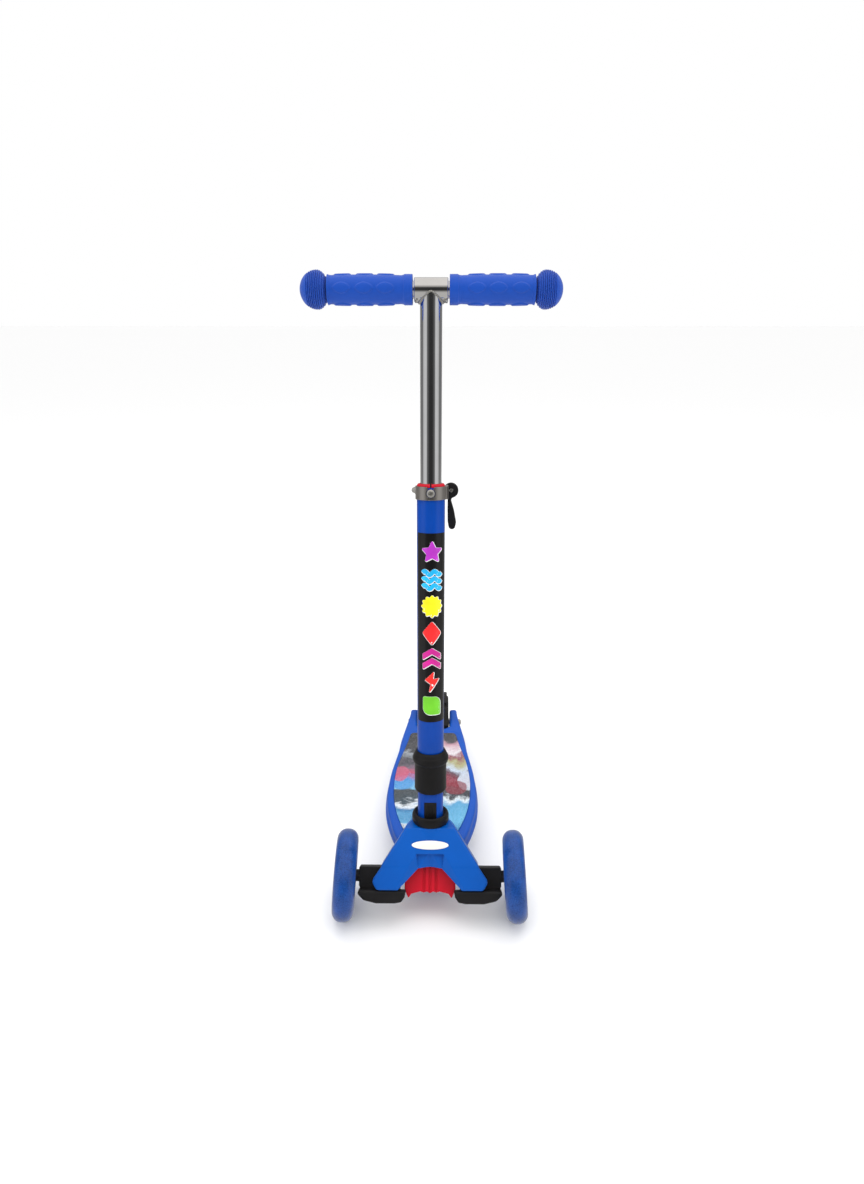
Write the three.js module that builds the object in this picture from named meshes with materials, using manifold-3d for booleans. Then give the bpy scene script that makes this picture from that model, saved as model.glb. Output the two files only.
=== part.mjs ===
// A child's three-wheel folding kick scooter, in millimetres, +Z up, front towards -Y.
// Everything is laid out from the front axle (y = 0, on the ground plane z = 0), and the whole
// group is then moved so that the origin is the middle of its footprint.
import * as THREE from "three";
import { mergeVertices } from "three/addons/utils/BufferGeometryUtils.js";
import Module from "manifold-3d";

const wasm = await Module();
wasm.setup();

// ---------- Driving dimensions ----------

const RAD = Math.PI / 180;
const GAP = 0.3; // clearance between neighbouring pieces
const ROUND = 24; // facets of a large turned piece
const FINE = 12; // facets of a small one

const WHEELBASE = 433;
const FRONT = { r: 58.5, width: 28, crown: 13, x: 112, camber: 5, toe: 3, core: 42, boltR: 4 };
const REAR = { r: 40, width: 44, crown: 9, core: 27, axleR: 4, z: 40 };
const CROWN_LIFT = (FRONT.r - FRONT.crown) * Math.cos(FRONT.camber * RAD) + FRONT.crown;
const FRONT_REACH = (FRONT.r - FRONT.crown) * Math.cos(FRONT.toe * RAD) + FRONT.crown;
const ORIGIN_Y = (WHEELBASE + REAR.r - FRONT_REACH) / 2;

// The stem leans back; heights on it are measured from the middle of its base collar.
const STEM = { lean: 7.15, y: 32.6, z: 130.4, stubR: 16.7, outerR: 17, innerR: 12.7, flat: 14.4 };
const BAR = { t: 655.5, r: 9.5, sleeveR: 13.2, sleeveHalf: 19.3, gripIn: 21, gripOut: 149.3 };
const CLAMP = { low: 418.5, high: 434.2, innerR: 17.3, outerR: 18.7, boltY: 22, boltT: 427 };
const LEVER = { x: 24.4, discR: 9, cheekLow: 16, cheekHigh: 28, tip: 379 };
const FOLD = { y: 12, t: 54, leafR: 4.6, leafHalf: 5.5, pinR: 2.6 };
const SLEEVE = { low: 38, high: 93.5, bore: 18.6 };

// The truck is a frame raked about the front axle: its local z runs up the kingpins.
const TRUCK = { rake: 30, z: CROWN_LIFT, face: -24, back: -15, beamLow: 13 };
const KINGPIN = { x: 48, r: 4, hubR: 9 };
const STEER_ARM = 22;

const DECK = { top: 66, rim: 55, bottom: 44, skin: 5, noseY: 33, slotY: 368, tailY: 447, slotHalf: 29 };
const MAT = { frontY: 76, rearY: 350, recess: 1.5, proud: 0.4 };
const BRAKE = { y: 386, z: 57, half: 27, inner: 44.5, outer: 48, pedal: 56, tail: 34 };

// ---------- Solids ----------

// A closed three.js geometry as a manifold-3d solid with its faces outwards.
function solid(geometry) {
  const bare = new THREE.BufferGeometry();
  bare.setAttribute("position", geometry.getAttribute("position"));
  if (geometry.index) bare.setIndex(geometry.index);
  const merged = mergeVertices(bare, 1e-4);
  const corners = merged.index.array;
  const kept = [];
  for (let i = 0; i < corners.length; i += 3) {
    const [a, b, c] = [corners[i], corners[i + 1], corners[i + 2]];
    if (a !== b && b !== c && c !== a) kept.push(a, b, c);
  }
  const build = (triangles) =>
    new wasm.Manifold(
      new wasm.Mesh({
        numProp: 3,
        vertProperties: new Float32Array(merged.attributes.position.array),
        triVerts: new Uint32Array(triangles),
      }),
    );
  const made = build(kept);
  return made.volume() < 0 ? build(kept.reverse()) : made;
}

function geometryOf(made) {
  const mesh = made.getMesh();
  const points = new Float32Array(mesh.numVert * 3);
  for (let i = 0; i < mesh.numVert; i++) {
    for (let k = 0; k < 3; k++) points[3 * i + k] = mesh.vertProperties[i * mesh.numProp + k];
  }
  const geometry = new THREE.BufferGeometry();
  geometry.setAttribute("position", new THREE.BufferAttribute(points, 3));
  geometry.setIndex(new THREE.BufferAttribute(new Uint32Array(mesh.triVerts), 1));
  geometry.computeVertexNormals();
  return geometry;
}

const join = (...solids) => solids.reduce((a, b) => a.add(b));
const cut = (from, ...tools) => tools.reduce((a, b) => a.subtract(b), from);

// Turns a geometry made along +Z so that it runs along another axis.
function aim(geometry, axis) {
  if (axis === "x") geometry.rotateY(Math.PI / 2);
  if (axis === "y") geometry.rotateX(-Math.PI / 2);
  return geometry;
}

// A turned piece: profile points are [radius, height] and start and end on the axis, or close.
function turned(profile, { axis = "z", at = [0, 0, 0], facets = ROUND } = {}) {
  const points = profile.map(([r, h]) => new THREE.Vector2(r, h));
  const geometry = new THREE.LatheGeometry(points, facets);
  geometry.rotateX(Math.PI / 2);
  return solid(aim(geometry, axis).translate(...at));
}

const rodProfile = (r, low, high) => [[0, low], [r, low], [r, high], [0, high]];
const rod = (r, low, high, options) => turned(rodProfile(r, low, high), options);

const pipe = (outer, inner, low, high, options) =>
  turned([[inner, low], [outer, low], [outer, high], [inner, high], [inner, low]], options);

function box(x0, x1, y0, y1, z0, z1) {
  const geometry = new THREE.BoxGeometry(x1 - x0, y1 - y0, z1 - z0);
  return solid(geometry.translate((x0 + x1) / 2, (y0 + y1) / 2, (z0 + z1) / 2));
}

// An outline drawn in a plane and pushed along that plane's normal.
// Planes: "xy" pushes along +Z, "xz" along +Y, "yz" along +X.
function slab(shape, low, high, plane = "xy", curveSegments = 6) {
  const options = { depth: high - low, bevelEnabled: false, curveSegments };
  const geometry = new THREE.ExtrudeGeometry(shape, options);
  const turn = new THREE.Matrix4();
  if (plane === "xz") turn.set(1, 0, 0, 0, 0, 0, 1, 0, 0, 1, 0, 0, 0, 0, 0, 1);
  if (plane === "yz") turn.set(0, 0, 1, 0, 1, 0, 0, 0, 0, 1, 0, 0, 0, 0, 0, 1);
  geometry.translate(0, 0, low).applyMatrix4(turn);
  return solid(geometry);
}

const outline = (points) => new THREE.Shape(points.map(([x, y]) => new THREE.Vector2(x, y)));

// A list of right-hand points as a closed outline that is the same on the left.
function mirrored(points) {
  const left = points.filter(([x]) => x > 0).map(([x, y]) => [-x, y]);
  return outline([...points, ...left.reverse()]);
}

// A wire bent along a curve.
function wire(curve, radius, steps) {
  const section = outline([[radius, 0], [0, radius], [-radius, 0], [0, -radius]]);
  return solid(new THREE.ExtrudeGeometry(section, { extrudePath: curve, steps }));
}

function helix(radius, pitch, turns, point) {
  const points = [];
  for (let i = 0; i <= turns * 10; i++) {
    const angle = (i / 10) * 2 * Math.PI;
    points.push(point(radius * Math.cos(angle), radius * Math.sin(angle), (i / 10) * pitch));
  }
  return new THREE.CatmullRomCurve3(points);
}

// ---------- Finishes ----------

const finish = (color, roughness, metalness) => ({ color, roughness, metalness });
const FINISHES = {
  chrome: finish(0xdedede, 0.08, 1),
  steel: finish(0xa8a59f, 0.35, 1),
  tubeBlue: finish(0x00449d, 0.3, 0.2),
  deckBlue: finish(0x547bc1, 0.45, 0),
  hoodBlue: finish(0x0b55b4, 0.4, 0),
  gripBlue: finish(0x3a56ba, 0.6, 0),
  black: finish(0x242427, 0.5, 0),
  bumperRed: finish(0xce323f, 0.45, 0),
  tyreBlue: finish(0x4d6ba8, 0.25, 0),
  coreWhite: finish(0xd5d8dc, 0.4, 0),
  matGrey: finish(0x4a4d52, 0.9, 0),
  badge: finish(0xf0ede6, 0.3, 0),
};

function add(group, name, made, finishName) {
  const material = new THREE.MeshStandardMaterial(FINISHES[finishName]);
  const mesh = new THREE.Mesh(geometryOf(made), material);
  mesh.name = name;
  group.add(mesh);
  return mesh;
}

// ---------- Frames ----------

const scooter = new THREE.Group();
scooter.position.y = -ORIGIN_Y;

const stem = new THREE.Group();
stem.position.set(0, STEM.y, STEM.z);
stem.rotation.x = -STEM.lean * RAD;
stem.updateMatrix();

const truck = new THREE.Group();
truck.position.set(0, 0, TRUCK.z);
truck.rotation.x = -TRUCK.rake * RAD;
truck.updateMatrix();

scooter.add(stem, truck);

// A solid made in a group's own frame, taken to the frame of the group that holds it.
const moved = (made, matrix) => solid(geometryOf(made).applyMatrix4(matrix));
const fromStem = (made) => moved(made, stem.matrix);
const fromTruck = (made) => moved(made, truck.matrix);

// ---------- Handlebar ----------

function makeHandlebar() {
  const bar = { axis: "x", at: [0, 0, BAR.t] };
  const barEnd = BAR.gripOut - 8;
  add(stem, "crossbar", pipe(BAR.r, BAR.r - 1.5, -barEnd, barEnd, { ...bar, facets: 20 }), "chrome");

  const tube = pipe(STEM.innerR, STEM.innerR - 2.2, 255, BAR.t - 2, { facets: 24 });
  const keyway = box(-2, 2, -STEM.innerR - 1, -STEM.innerR + 1.4, 250, 550);
  const saddle = rod(BAR.sleeveR + GAP, -30, 30, bar);
  add(stem, "inner_tube", cut(tube, keyway, saddle), "chrome");

  const sleeve = pipe(BAR.sleeveR, BAR.r + GAP, -BAR.sleeveHalf, BAR.sleeveHalf, bar);
  add(stem, "tee_sleeve", sleeve, "chrome");

  const plug = [[0, 243], [15.2, 243], [15.2, 254.5], [10, 254.5], [10, 275], [0, 275]];
  add(stem, "tube_end_plug", turned(plug, { facets: 24 }), "black");

  for (const [name, side] of [["grip_left", -1], ["grip_right", 1]]) {
    add(stem, name, makeGrip(side), "gripBlue");
  }
}

// Flanged collar, plain body and a ball end round a blind bore for the bar.
function makeGrip(side) {
  const ball = { x: 129.5, r: 21.5, outer: 19.8 };
  const bore = BAR.r + GAP;
  const profile = [
    [bore, BAR.gripIn], [16.7, BAR.gripIn], [16.7, 30.3], [15.4, 32],
    [16.2, 51], [16.2, 101], [15.4, 114], [16.6, 118],
  ];
  for (const angle of [140, 115, 90, 65, 42, 20]) {
    const reach = angle < 90 ? ball.outer : ball.r * 0.62;
    profile.push([ball.r * Math.sin(angle * RAD), ball.x + reach * Math.cos(angle * RAD)]);
  }
  profile.push([0, BAR.gripOut], [0, 142.5], [bore, 142.5], [bore, BAR.gripIn]);
  const placed = profile.map(([r, x]) => [r, side * x]);
  return turned(placed, { axis: "x", at: [0, 0, BAR.t], facets: 20 });
}

// ---------- Outer tube and its clamp ----------

function makeMast() {
  const tube = pipe(STEM.outerR, STEM.outerR - 1.5, 68.6, 433, { facets: 28 });
  const slit = box(-1.5, 1.5, 10, 20, 396, 440);
  const screwHole = { axis: "y", at: [0, 0, CLAMP.boltT - 0.4], facets: 12 };
  const keyHole = rod(2.3, -20, 0, screwHole);
  add(stem, "outer_tube", cut(tube, slit, keyHole), "tubeBlue");

  const bushing = join(
    pipe(15.2, STEM.innerR + GAP, 398, 434.8, { facets: 24 }),
    pipe(17, STEM.innerR + GAP, 433.3, 434.8, { facets: 24 }),
  );
  add(stem, "height_bushing", cut(bushing, keyHole, box(-0.8, 0.8, -18, -8, 390, 440)), "bumperRed");

  const band = pipe(CLAMP.outerR, CLAMP.innerR, CLAMP.low, CLAMP.high, { facets: 28 });
  const ear = (side) => box(...span(side, 11, 12.5), 12.2, 28, CLAMP.low, CLAMP.high);
  const strap = box(18.2, 20.9, -4, 12, CLAMP.low, CLAMP.high);
  const opening = box(-10.9, 10.9, 10, 30, CLAMP.low - 1, CLAMP.high + 1);
  const notch = slab(
    outline([[-1, CLAMP.boltT], [1, CLAMP.boltT], [4.5, CLAMP.high + 1], [-4.5, CLAMP.high + 1]]),
    -25, -10, "xz",
  );
  const bore = rod(2.8, -16, 16, { axis: "x", at: [0, CLAMP.boltY, CLAMP.boltT], facets: 12 });
  const relief = rod(6.1, -25, -10, { ...screwHole, facets: FINE });
  const hollow = rod(CLAMP.innerR, CLAMP.low - 1, CLAMP.high + 1, { facets: 28 });
  const shell = cut(join(band, ear(1), ear(-1), strap), hollow, opening, notch, bore, relief);
  add(stem, "clamp_collar", shell, "steel");

  const screw = [[0, -20.6], [3.4, -20.3], [5, -18.6], [5, -17.3], [2, -17.3], [2, -11.7], [0, -11.7]];
  add(stem, "key_screw", turned(screw, screwHole), "steel");
}

// [low, high] of a stretch that is mirrored to the left when side is -1.
const span = (side, near, far) => (side > 0 ? [near, far] : [-far, -near]);

function makeClampLever() {
  const through = { axis: "x", at: [0, CLAMP.boltY, CLAMP.boltT], facets: 12 };
  const pinLine = { axis: "y", at: [LEVER.x, 0, CLAMP.boltT], facets: FINE };
  const eye = rod(4.2, CLAMP.boltY - 2.4, CLAMP.boltY + 2.4, pinLine);
  const pinHole = rod(2.2 + GAP, 0, 40, pinLine);
  add(stem, "clamp_bolt", cut(join(rod(2.4, -22, LEVER.x - 2, through), eye), pinHole), "steel");

  const nut = join(
    rod(6, -14.6, -12.8, { ...through, facets: FINE }),
    rod(5.4, -19.8, -14.6, { ...through, facets: 6 }),
    turned([[0, -24.2], [2.6, -23.4], [4.2, -19.8], [0, -19.8]], { ...through, facets: FINE }),
  );
  add(stem, "clamp_nut", cut(nut, rod(2.7, -22.3, 0, through)), "steel");

  const saddle = box(12.8, 15.1, 15.4, 28.6, CLAMP.low + 0.5, CLAMP.high + 0.6);
  add(stem, "clamp_saddle", cut(saddle, rod(2.8, 0, 40, through)), "steel");

  const blade = new THREE.Shape();
  blade.moveTo(20.4, CLAMP.boltT - 4);
  blade.lineTo(20.6, 400);
  blade.quadraticCurveTo(20.6, LEVER.tip + 1, 25.4, LEVER.tip);
  blade.quadraticCurveTo(32, LEVER.tip + 1, 30.4, 392);
  blade.lineTo(24.4, 416);
  blade.lineTo(26.5, CLAMP.boltT - 4);
  const body = join(
    rod(LEVER.discR, LEVER.cheekLow, LEVER.cheekHigh, { ...pinLine, facets: 24 }),
    slab(blade, LEVER.cheekLow + 1.5, LEVER.cheekHigh - 1.5, "xz"),
  );
  // The fork is open from the bolt's rest direction round to where the bolt lies with the lever thrown.
  const fork = [CLAMP.boltY - 2.8, CLAMP.boltY + 2.8];
  const slot = box(10, 29.6, ...fork, CLAMP.boltT - 5, 440);
  const openSide = box(10, 36, ...fork, CLAMP.boltT - 2.8, 440);
  add(stem, "clamp_lever", cut(body, slot, openSide, pinHole), "black");
  add(stem, "lever_pin", rod(2.2, LEVER.cheekLow - 0.4, LEVER.cheekHigh + 0.4, pinLine), "steel");
}

// ---------- Folding joint at the foot of the mast ----------

function makeFoldingJoint() {
  const pinLine = (facets) => ({ axis: "x", at: [0, FOLD.y, FOLD.t], facets });
  const middle = [-FOLD.leafHalf, FOLD.leafHalf];
  const hole = rod(FOLD.pinR + GAP, -20, 20, pinLine(12));
  const wedge = (sign) =>
    slab(outline([[FOLD.y, FOLD.t], [30, FOLD.t + sign * 18], [30, FOLD.t - sign * 9]]), -20, 20, "yz");
  const clearance = FOLD.leafR + 0.4;
  const sideRoom = (side) =>
    rod(clearance, ...span(side, FOLD.leafHalf, 20), pinLine(FINE));
  const skin = rod(STEM.stubR, FOLD.t - 30, FOLD.t + 30, { facets: ROUND });

  const lower = join(
    rod(13.2, 28, 41, { facets: ROUND }),
    rod(STEM.stubR, 40.3, FOLD.t - 0.2, { facets: ROUND }),
  );
  const tongue = rod(FOLD.leafR, ...middle, pinLine(FINE));
  const base = join(cut(lower, wedge(-1), sideRoom(1), sideRoom(-1)), tongue);
  add(stem, "fold_base", cut(base, hole), "steel");

  const upper = join(
    rod(STEM.stubR, FOLD.t + 0.2, 68.3, { facets: ROUND }),
    rod(15.2, 68, 90, { facets: ROUND }),
  );
  const ears = join(
    rod(FOLD.leafR, ...span(1, FOLD.leafHalf + GAP, 14), pinLine(FINE)),
    rod(FOLD.leafR, ...span(-1, FOLD.leafHalf + GAP, 14), pinLine(FINE)),
  ).intersect(skin);
  const tongueRoom = rod(clearance, -FOLD.leafHalf - GAP, FOLD.leafHalf + GAP, pinLine(FINE));
  add(stem, "fold_head", cut(join(cut(upper, wedge(1)), ears), tongueRoom, hole), "steel");
  add(stem, "fold_pin", rod(FOLD.pinR, -10.5, 10.5, pinLine(12)), "steel");

  const sleeve = [
    [SLEEVE.bore, SLEEVE.low], [20, SLEEVE.low], [20.9, 40.5], [20.7, 77], [22.3, 78.5],
    [23.3, 81], [23.2, 84], [22, 87], [20.4, 90.5], [18.6, SLEEVE.high],
    [17.4, SLEEVE.high], [17.4, 89], [SLEEVE.bore, 87], [SLEEVE.bore, SLEEVE.low],
  ];
  add(stem, "lock_sleeve", turned(sleeve), "black");
}

// ---------- Stub, its push-button and the base collar ----------

function makeStub() {
  const window = box(-8.2, 8.2, -20, -8, -3, 24.8);
  const flat = box(-10, 10, -20, -STEM.flat, 6, 50);
  const tube = pipe(STEM.stubR, 13.5, -44, 40);
  add(stem, "stub_tube", cut(tube, window, flat), "tubeBlue");
  add(stem, "release_button", box(-7.9, 7.9, -STEM.flat - GAP, -9.6, -2.7, 24.5), "black");

  const turns = 6;
  const coil = helix(4, 19.8 / turns, turns, (a, b, rise) => new THREE.Vector3(a, rise - 8.5, 11 + b));
  add(stem, "button_spring", wire(coil, 0.8, 44), "steel");

  const collar = [
    [17.1, -8], [23.2, -8], [24.3, -5.5], [24.3, 0.5], [23, 4.2], [20.6, 5.4], [18.8, 3], [17.1, 2.4],
    [17.1, -8],
  ];
  add(stem, "base_collar", turned(collar), "black");
}

// ---------- Hood over the steering truck ----------

const HOOD_EDGE = [[74.6, -6], [73.8, -1], [61.2, 17], [47.2, 38], [39, 51.5], [30.6, 66], [24, 72]];

function makeHood() {
  const face = mirrored([[15.2, 12], [41.8, -15], [69, -15], ...HOOD_EDGE]);
  const upper = mirrored([[64.8, TRUCK.beamLow], [30.6, 66], [24, 72]]);
  const inside = mirrored([[50.5, 27], [26, 62]]);
  const shell = cut(
    join(
      slab(face, TRUCK.face, TRUCK.back, "xz"),
      slab(upper, TRUCK.face, 12, "xz"),
    ),
    slab(inside, TRUCK.back, 20, "xz"),
  );
  const panel = mirrored([[13, 13.5], [17, 30.5]]);
  const pinHole = (side) =>
    rod(KINGPIN.r + GAP, 0, 22, { at: [side * KINGPIN.x, 0, 0], facets: FINE });
  const sunk = slab(panel, TRUCK.face - 5, TRUCK.face + 1.6, "xz");
  const shelled = cut(shell, sunk, pinHole(1), pinHole(-1));

  const socket = fromStem(rod(23.4, -66, -8.3)).intersect(box(-40, 40, -60, 80, 60, 140));
  const ridge = outline([[0, 67], [73, 67], [72, 71.2], [56, 71.2], [48, 84], [0, 84]]);
  const spine = slab(ridge, -16, 16, "yz");
  const floor = box(-90, 90, 30, 120, 0, DECK.top + GAP);
  const under = fromTruck(box(-90, 90, -60, 60, -80, TRUCK.beamLow));
  const above = fromStem(rod(90, -8.3, 60));
  const bore = fromStem(rod(17, -44.4, 0));
  const bolts = [1, -1].map((side) => rod(2.8, 60, 80, { at: [side * 10, 64, 0], facets: 12 }));
  const foot = cut(join(socket, spine), under, floor);
  const made = cut(join(fromTruck(shelled), foot), above, bore, ...bolts);
  add(scooter, "front_hood", made, "hoodBlue");

  const oval = new THREE.Shape();
  oval.absellipse(0, 42, 24, 5.6, 0, 2 * Math.PI);
  add(truck, "badge_plate", slab(oval, TRUCK.face - 1.1, TRUCK.face - GAP, "xz", 14), "badge");

  const bumper = mirrored([
    [26, 12.6], [33.4, -10], [33.4, -17], [28, -28], [24.5, -22.5], [14, -20.8], [0, -20.2],
  ]);
  const grooves = [-8, 0, 8].map((x) => box(x - 1.7, x + 1.7, -6, -2.8, -40, 20));
  add(truck, "centring_bumper", cut(slab(bumper, -5, 9, "xz"), ...grooves), "bumperRed");

  for (const [name, side] of [["deck_bolt_left", -1], ["deck_bolt_right", 1]]) {
    const head = [[0, 52], [2.4, 52], [2.4, 71.6], [5, 71.6], [4.6, 73.8], [2.5, 74.8], [0, 74.8]];
    add(scooter, name, turned(head, { at: [side * 10, 64, 0], facets: 12 }), "steel");
  }
}

// ---------- Steering: carriers, kingpins and tie rod ----------

// The wheel's own frame: local X is the spin axis, pointing outwards.
function wheelFrame(side) {
  const frame = new THREE.Group();
  frame.position.set(side * FRONT.x, 0, TRUCK.z);
  frame.rotation.order = "ZYX";
  frame.rotation.z = -side * FRONT.toe * RAD;
  frame.rotation.y = -side * FRONT.camber * RAD;
  frame.updateMatrix();
  return frame;
}

function makeSteering(side, suffix, frame) {
  const wheelToTruck = truck.matrix.clone().invert().multiply(frame.matrix);
  const inTruck = (made) => moved(made, wheelToTruck);
  const out = (near, far) => span(side, near, far);
  const hubAt = { at: [side * KINGPIN.x, 0, 0], facets: 24 };

  const padShape = outline(
    [[31, -15.6], [93, -15.6], [93, -19.5], [86, -28], [70, -32], [42, -32], [33.5, -27.5]]
      .map(([x, t]) => [side * x, t]),
  );
  const pad = cut(slab(padShape, -20, 12, "xz"), box(...out(29, 39.5), -9.5, 13, -40, 0));
  const block = box(...out(46, 93.5), -6, 10, -16, 11.5);
  const hub = rod(KINGPIN.hubR, -32, 12.4, hubAt);
  const arm = box(...out(43, 53), 8, STEER_ARM + 5, -8, -2);
  const stub = inTruck(rod(7.5, ...out(-12.8, -26).sort((a, b) => a - b), { axis: "x", facets: 20 }));
  const pinBore = rod(KINGPIN.r + GAP, -40, 20, { ...hubAt, facets: FINE });
  const armHole = { at: [side * KINGPIN.x, STEER_ARM, 0], facets: 12 };
  const axleSpan = out(-42, 0).sort((a, b) => a - b);
  const axleBore = inTruck(rod(FRONT.boltR + GAP, ...axleSpan, { axis: "x", facets: FINE }));
  const carrier = cut(join(pad, block, hub, arm, stub), pinBore, rod(2.3, -10, 0, armHole), axleBore);
  add(truck, "carrier_" + suffix, carrier, "black");

  const kingpin = [
    [0, -34.4], [6, -34.4], [6.5, -33.9], [6.5, -32.4], [KINGPIN.r, -32.4], [KINGPIN.r, 21.6], [0, 21.6],
  ];
  add(truck, "kingpin_" + suffix, turned(kingpin, { ...hubAt, facets: FINE }), "steel");

  const pin = [[0, -10.6], [3.6, -10.6], [3.6, -8.4], [2, -8.4], [2, 4.2], [0, 4.2]];
  add(truck, "tie_pin_" + suffix, turned(pin, armHole), "steel");
}

function makeTieRod() {
  const half = KINGPIN.x + 5;
  const bar = box(-half, half, STEER_ARM - 4.5, STEER_ARM + 4.5, -1.6, 2.4);
  const eyes = [1, -1].map((side) =>
    rod(2.8, -5, 5, { at: [side * KINGPIN.x, STEER_ARM, 0], facets: FINE }));
  add(truck, "tie_rod", cut(bar, ...eyes), "steel");
}

// ---------- Wheels ----------

// The crowned outer half of a wheel's section, from its right side to its left.
function crownedRim(r, width, crown, steps) {
  const points = [];
  for (let i = 0; i <= steps; i++) {
    const angle = (i / steps - 0.5) * Math.PI;
    const side = angle === 0 ? 0 : Math.sign(angle) * (width / 2 - crown);
    points.push([r - crown + crown * Math.cos(angle), side + crown * Math.sin(angle)]);
  }
  return points;
}

function spokedCore(rim, hub, bore, width, count) {
  const parts = [
    pipe(rim, rim - 5, -width * 0.36, width * 0.36, { axis: "x" }),
    rod(hub, -width / 2, width / 2, { axis: "x", facets: 20 }),
  ];
  for (let i = 0; i < count; i++) {
    const spoke = new THREE.BoxGeometry(width * 0.5, 7, rim - 2 - hub * 0.5);
    spoke.translate(0, 0, (rim - 2 + hub * 0.5) / 2).rotateX((i / count) * 2 * Math.PI);
    parts.push(solid(spoke));
  }
  return cut(join(...parts), rod(bore, -width, width, { axis: "x", facets: FINE }));
}

function makeFrontWheel(side, suffix, frame) {
  scooter.add(frame);
  const rim = crownedRim(FRONT.r, FRONT.width, FRONT.crown, 6);
  const bed = FRONT.core + GAP;
  const section = [[bed, -9], ...rim, [bed, 9], [bed, -9]];
  add(frame, "front_tyre_" + suffix, turned(section, { axis: "x", facets: 28 }), "tyreBlue");
  add(frame, "front_core_" + suffix, spokedCore(FRONT.core, 15, 11.3, 24, 5), "coreWhite");

  const bore = FRONT.boltR + GAP;
  for (const [place, near] of [["inner", -12], ["outer", 5]]) {
    const ring = pipe(11, bore, ...span(side, near, near + 7), { axis: "x", facets: FINE });
    add(frame, "bearing_" + place + "_" + suffix, ring, "steel");
  }
  const bolt = [
    [0, -40], [FRONT.boltR, -40], [FRONT.boltR, 12.4], [6.8, 12.4], [6.8, 13.2], [5.8, 14], [0, 14.2],
  ];
  const placed = bolt.map(([r, x]) => [r, side * x]);
  add(frame, "front_axle_bolt_" + suffix, turned(placed, { axis: "x", facets: FINE }), "steel");
}

function makeRearWheel() {
  const axle = new THREE.Group();
  axle.position.set(0, WHEELBASE, REAR.z);
  scooter.add(axle);
  const half = REAR.width / 2;
  const bed = REAR.core + GAP;
  const section = [[bed, -18], ...crownedRim(REAR.r, REAR.width, REAR.crown, 6), [bed, 18], [bed, -18]];
  add(axle, "rear_tyre", turned(section, { axis: "x", facets: 28 }), "tyreBlue");
  const core = cut(
    rod(REAR.core, -half, half, { axis: "x" }),
    rod(11.3, -60, 60, { axis: "x", facets: FINE }),
    pipe(23, 15, 12, 60, { axis: "x", facets: 24 }),
    pipe(23, 15, -60, -12, { axis: "x", facets: 24 }),
  );
  add(axle, "rear_core", core, "coreWhite");
  for (const [suffix, side] of [["left", -1], ["right", 1]]) {
    const bore = REAR.axleR + GAP;
    const ring = pipe(11, bore, ...span(side, half - 7, half), { axis: "x", facets: FINE });
    add(axle, "rear_bearing_" + suffix, ring, "steel");
    const beside = span(side, half + GAP, DECK.slotHalf - GAP);
    add(axle, "rear_spacer_" + suffix, pipe(7, bore, ...beside, { axis: "x", facets: FINE }), "steel");
  }
  const bolt = [
    [0, -47.4], [6, -46.8], [7, -45], [7, -42.8], [REAR.axleR, -42.8], [REAR.axleR, 46], [0, 46],
  ];
  add(axle, "rear_axle_bolt", turned(bolt, { axis: "x", facets: FINE }), "steel");
  const nut = cut(
    join(
      rod(7, 42.8, 47.4, { axis: "x", facets: 6 }),
      turned([[0, 47], [5.6, 47], [4.4, 49.4], [0, 50.4]], { axis: "x", facets: FINE }),
    ),
    rod(REAR.axleR + GAP, 40, 46.4, { axis: "x", facets: FINE }),
  );
  add(axle, "rear_axle_nut", nut, "steel");
}

// ---------- Deck, mat and brake ----------

const smooth = (points) => new THREE.SplineCurve(points.map(([x, y]) => new THREE.Vector2(x, y)));

// A plan outline from a right-hand edge: a smooth run, then straight corners.
function planOutline(run, corners, steps) {
  const edge = smooth(run).getPoints(steps).map((p) => [p.x, p.y]);
  return mirrored([...edge, ...corners]);
}

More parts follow.
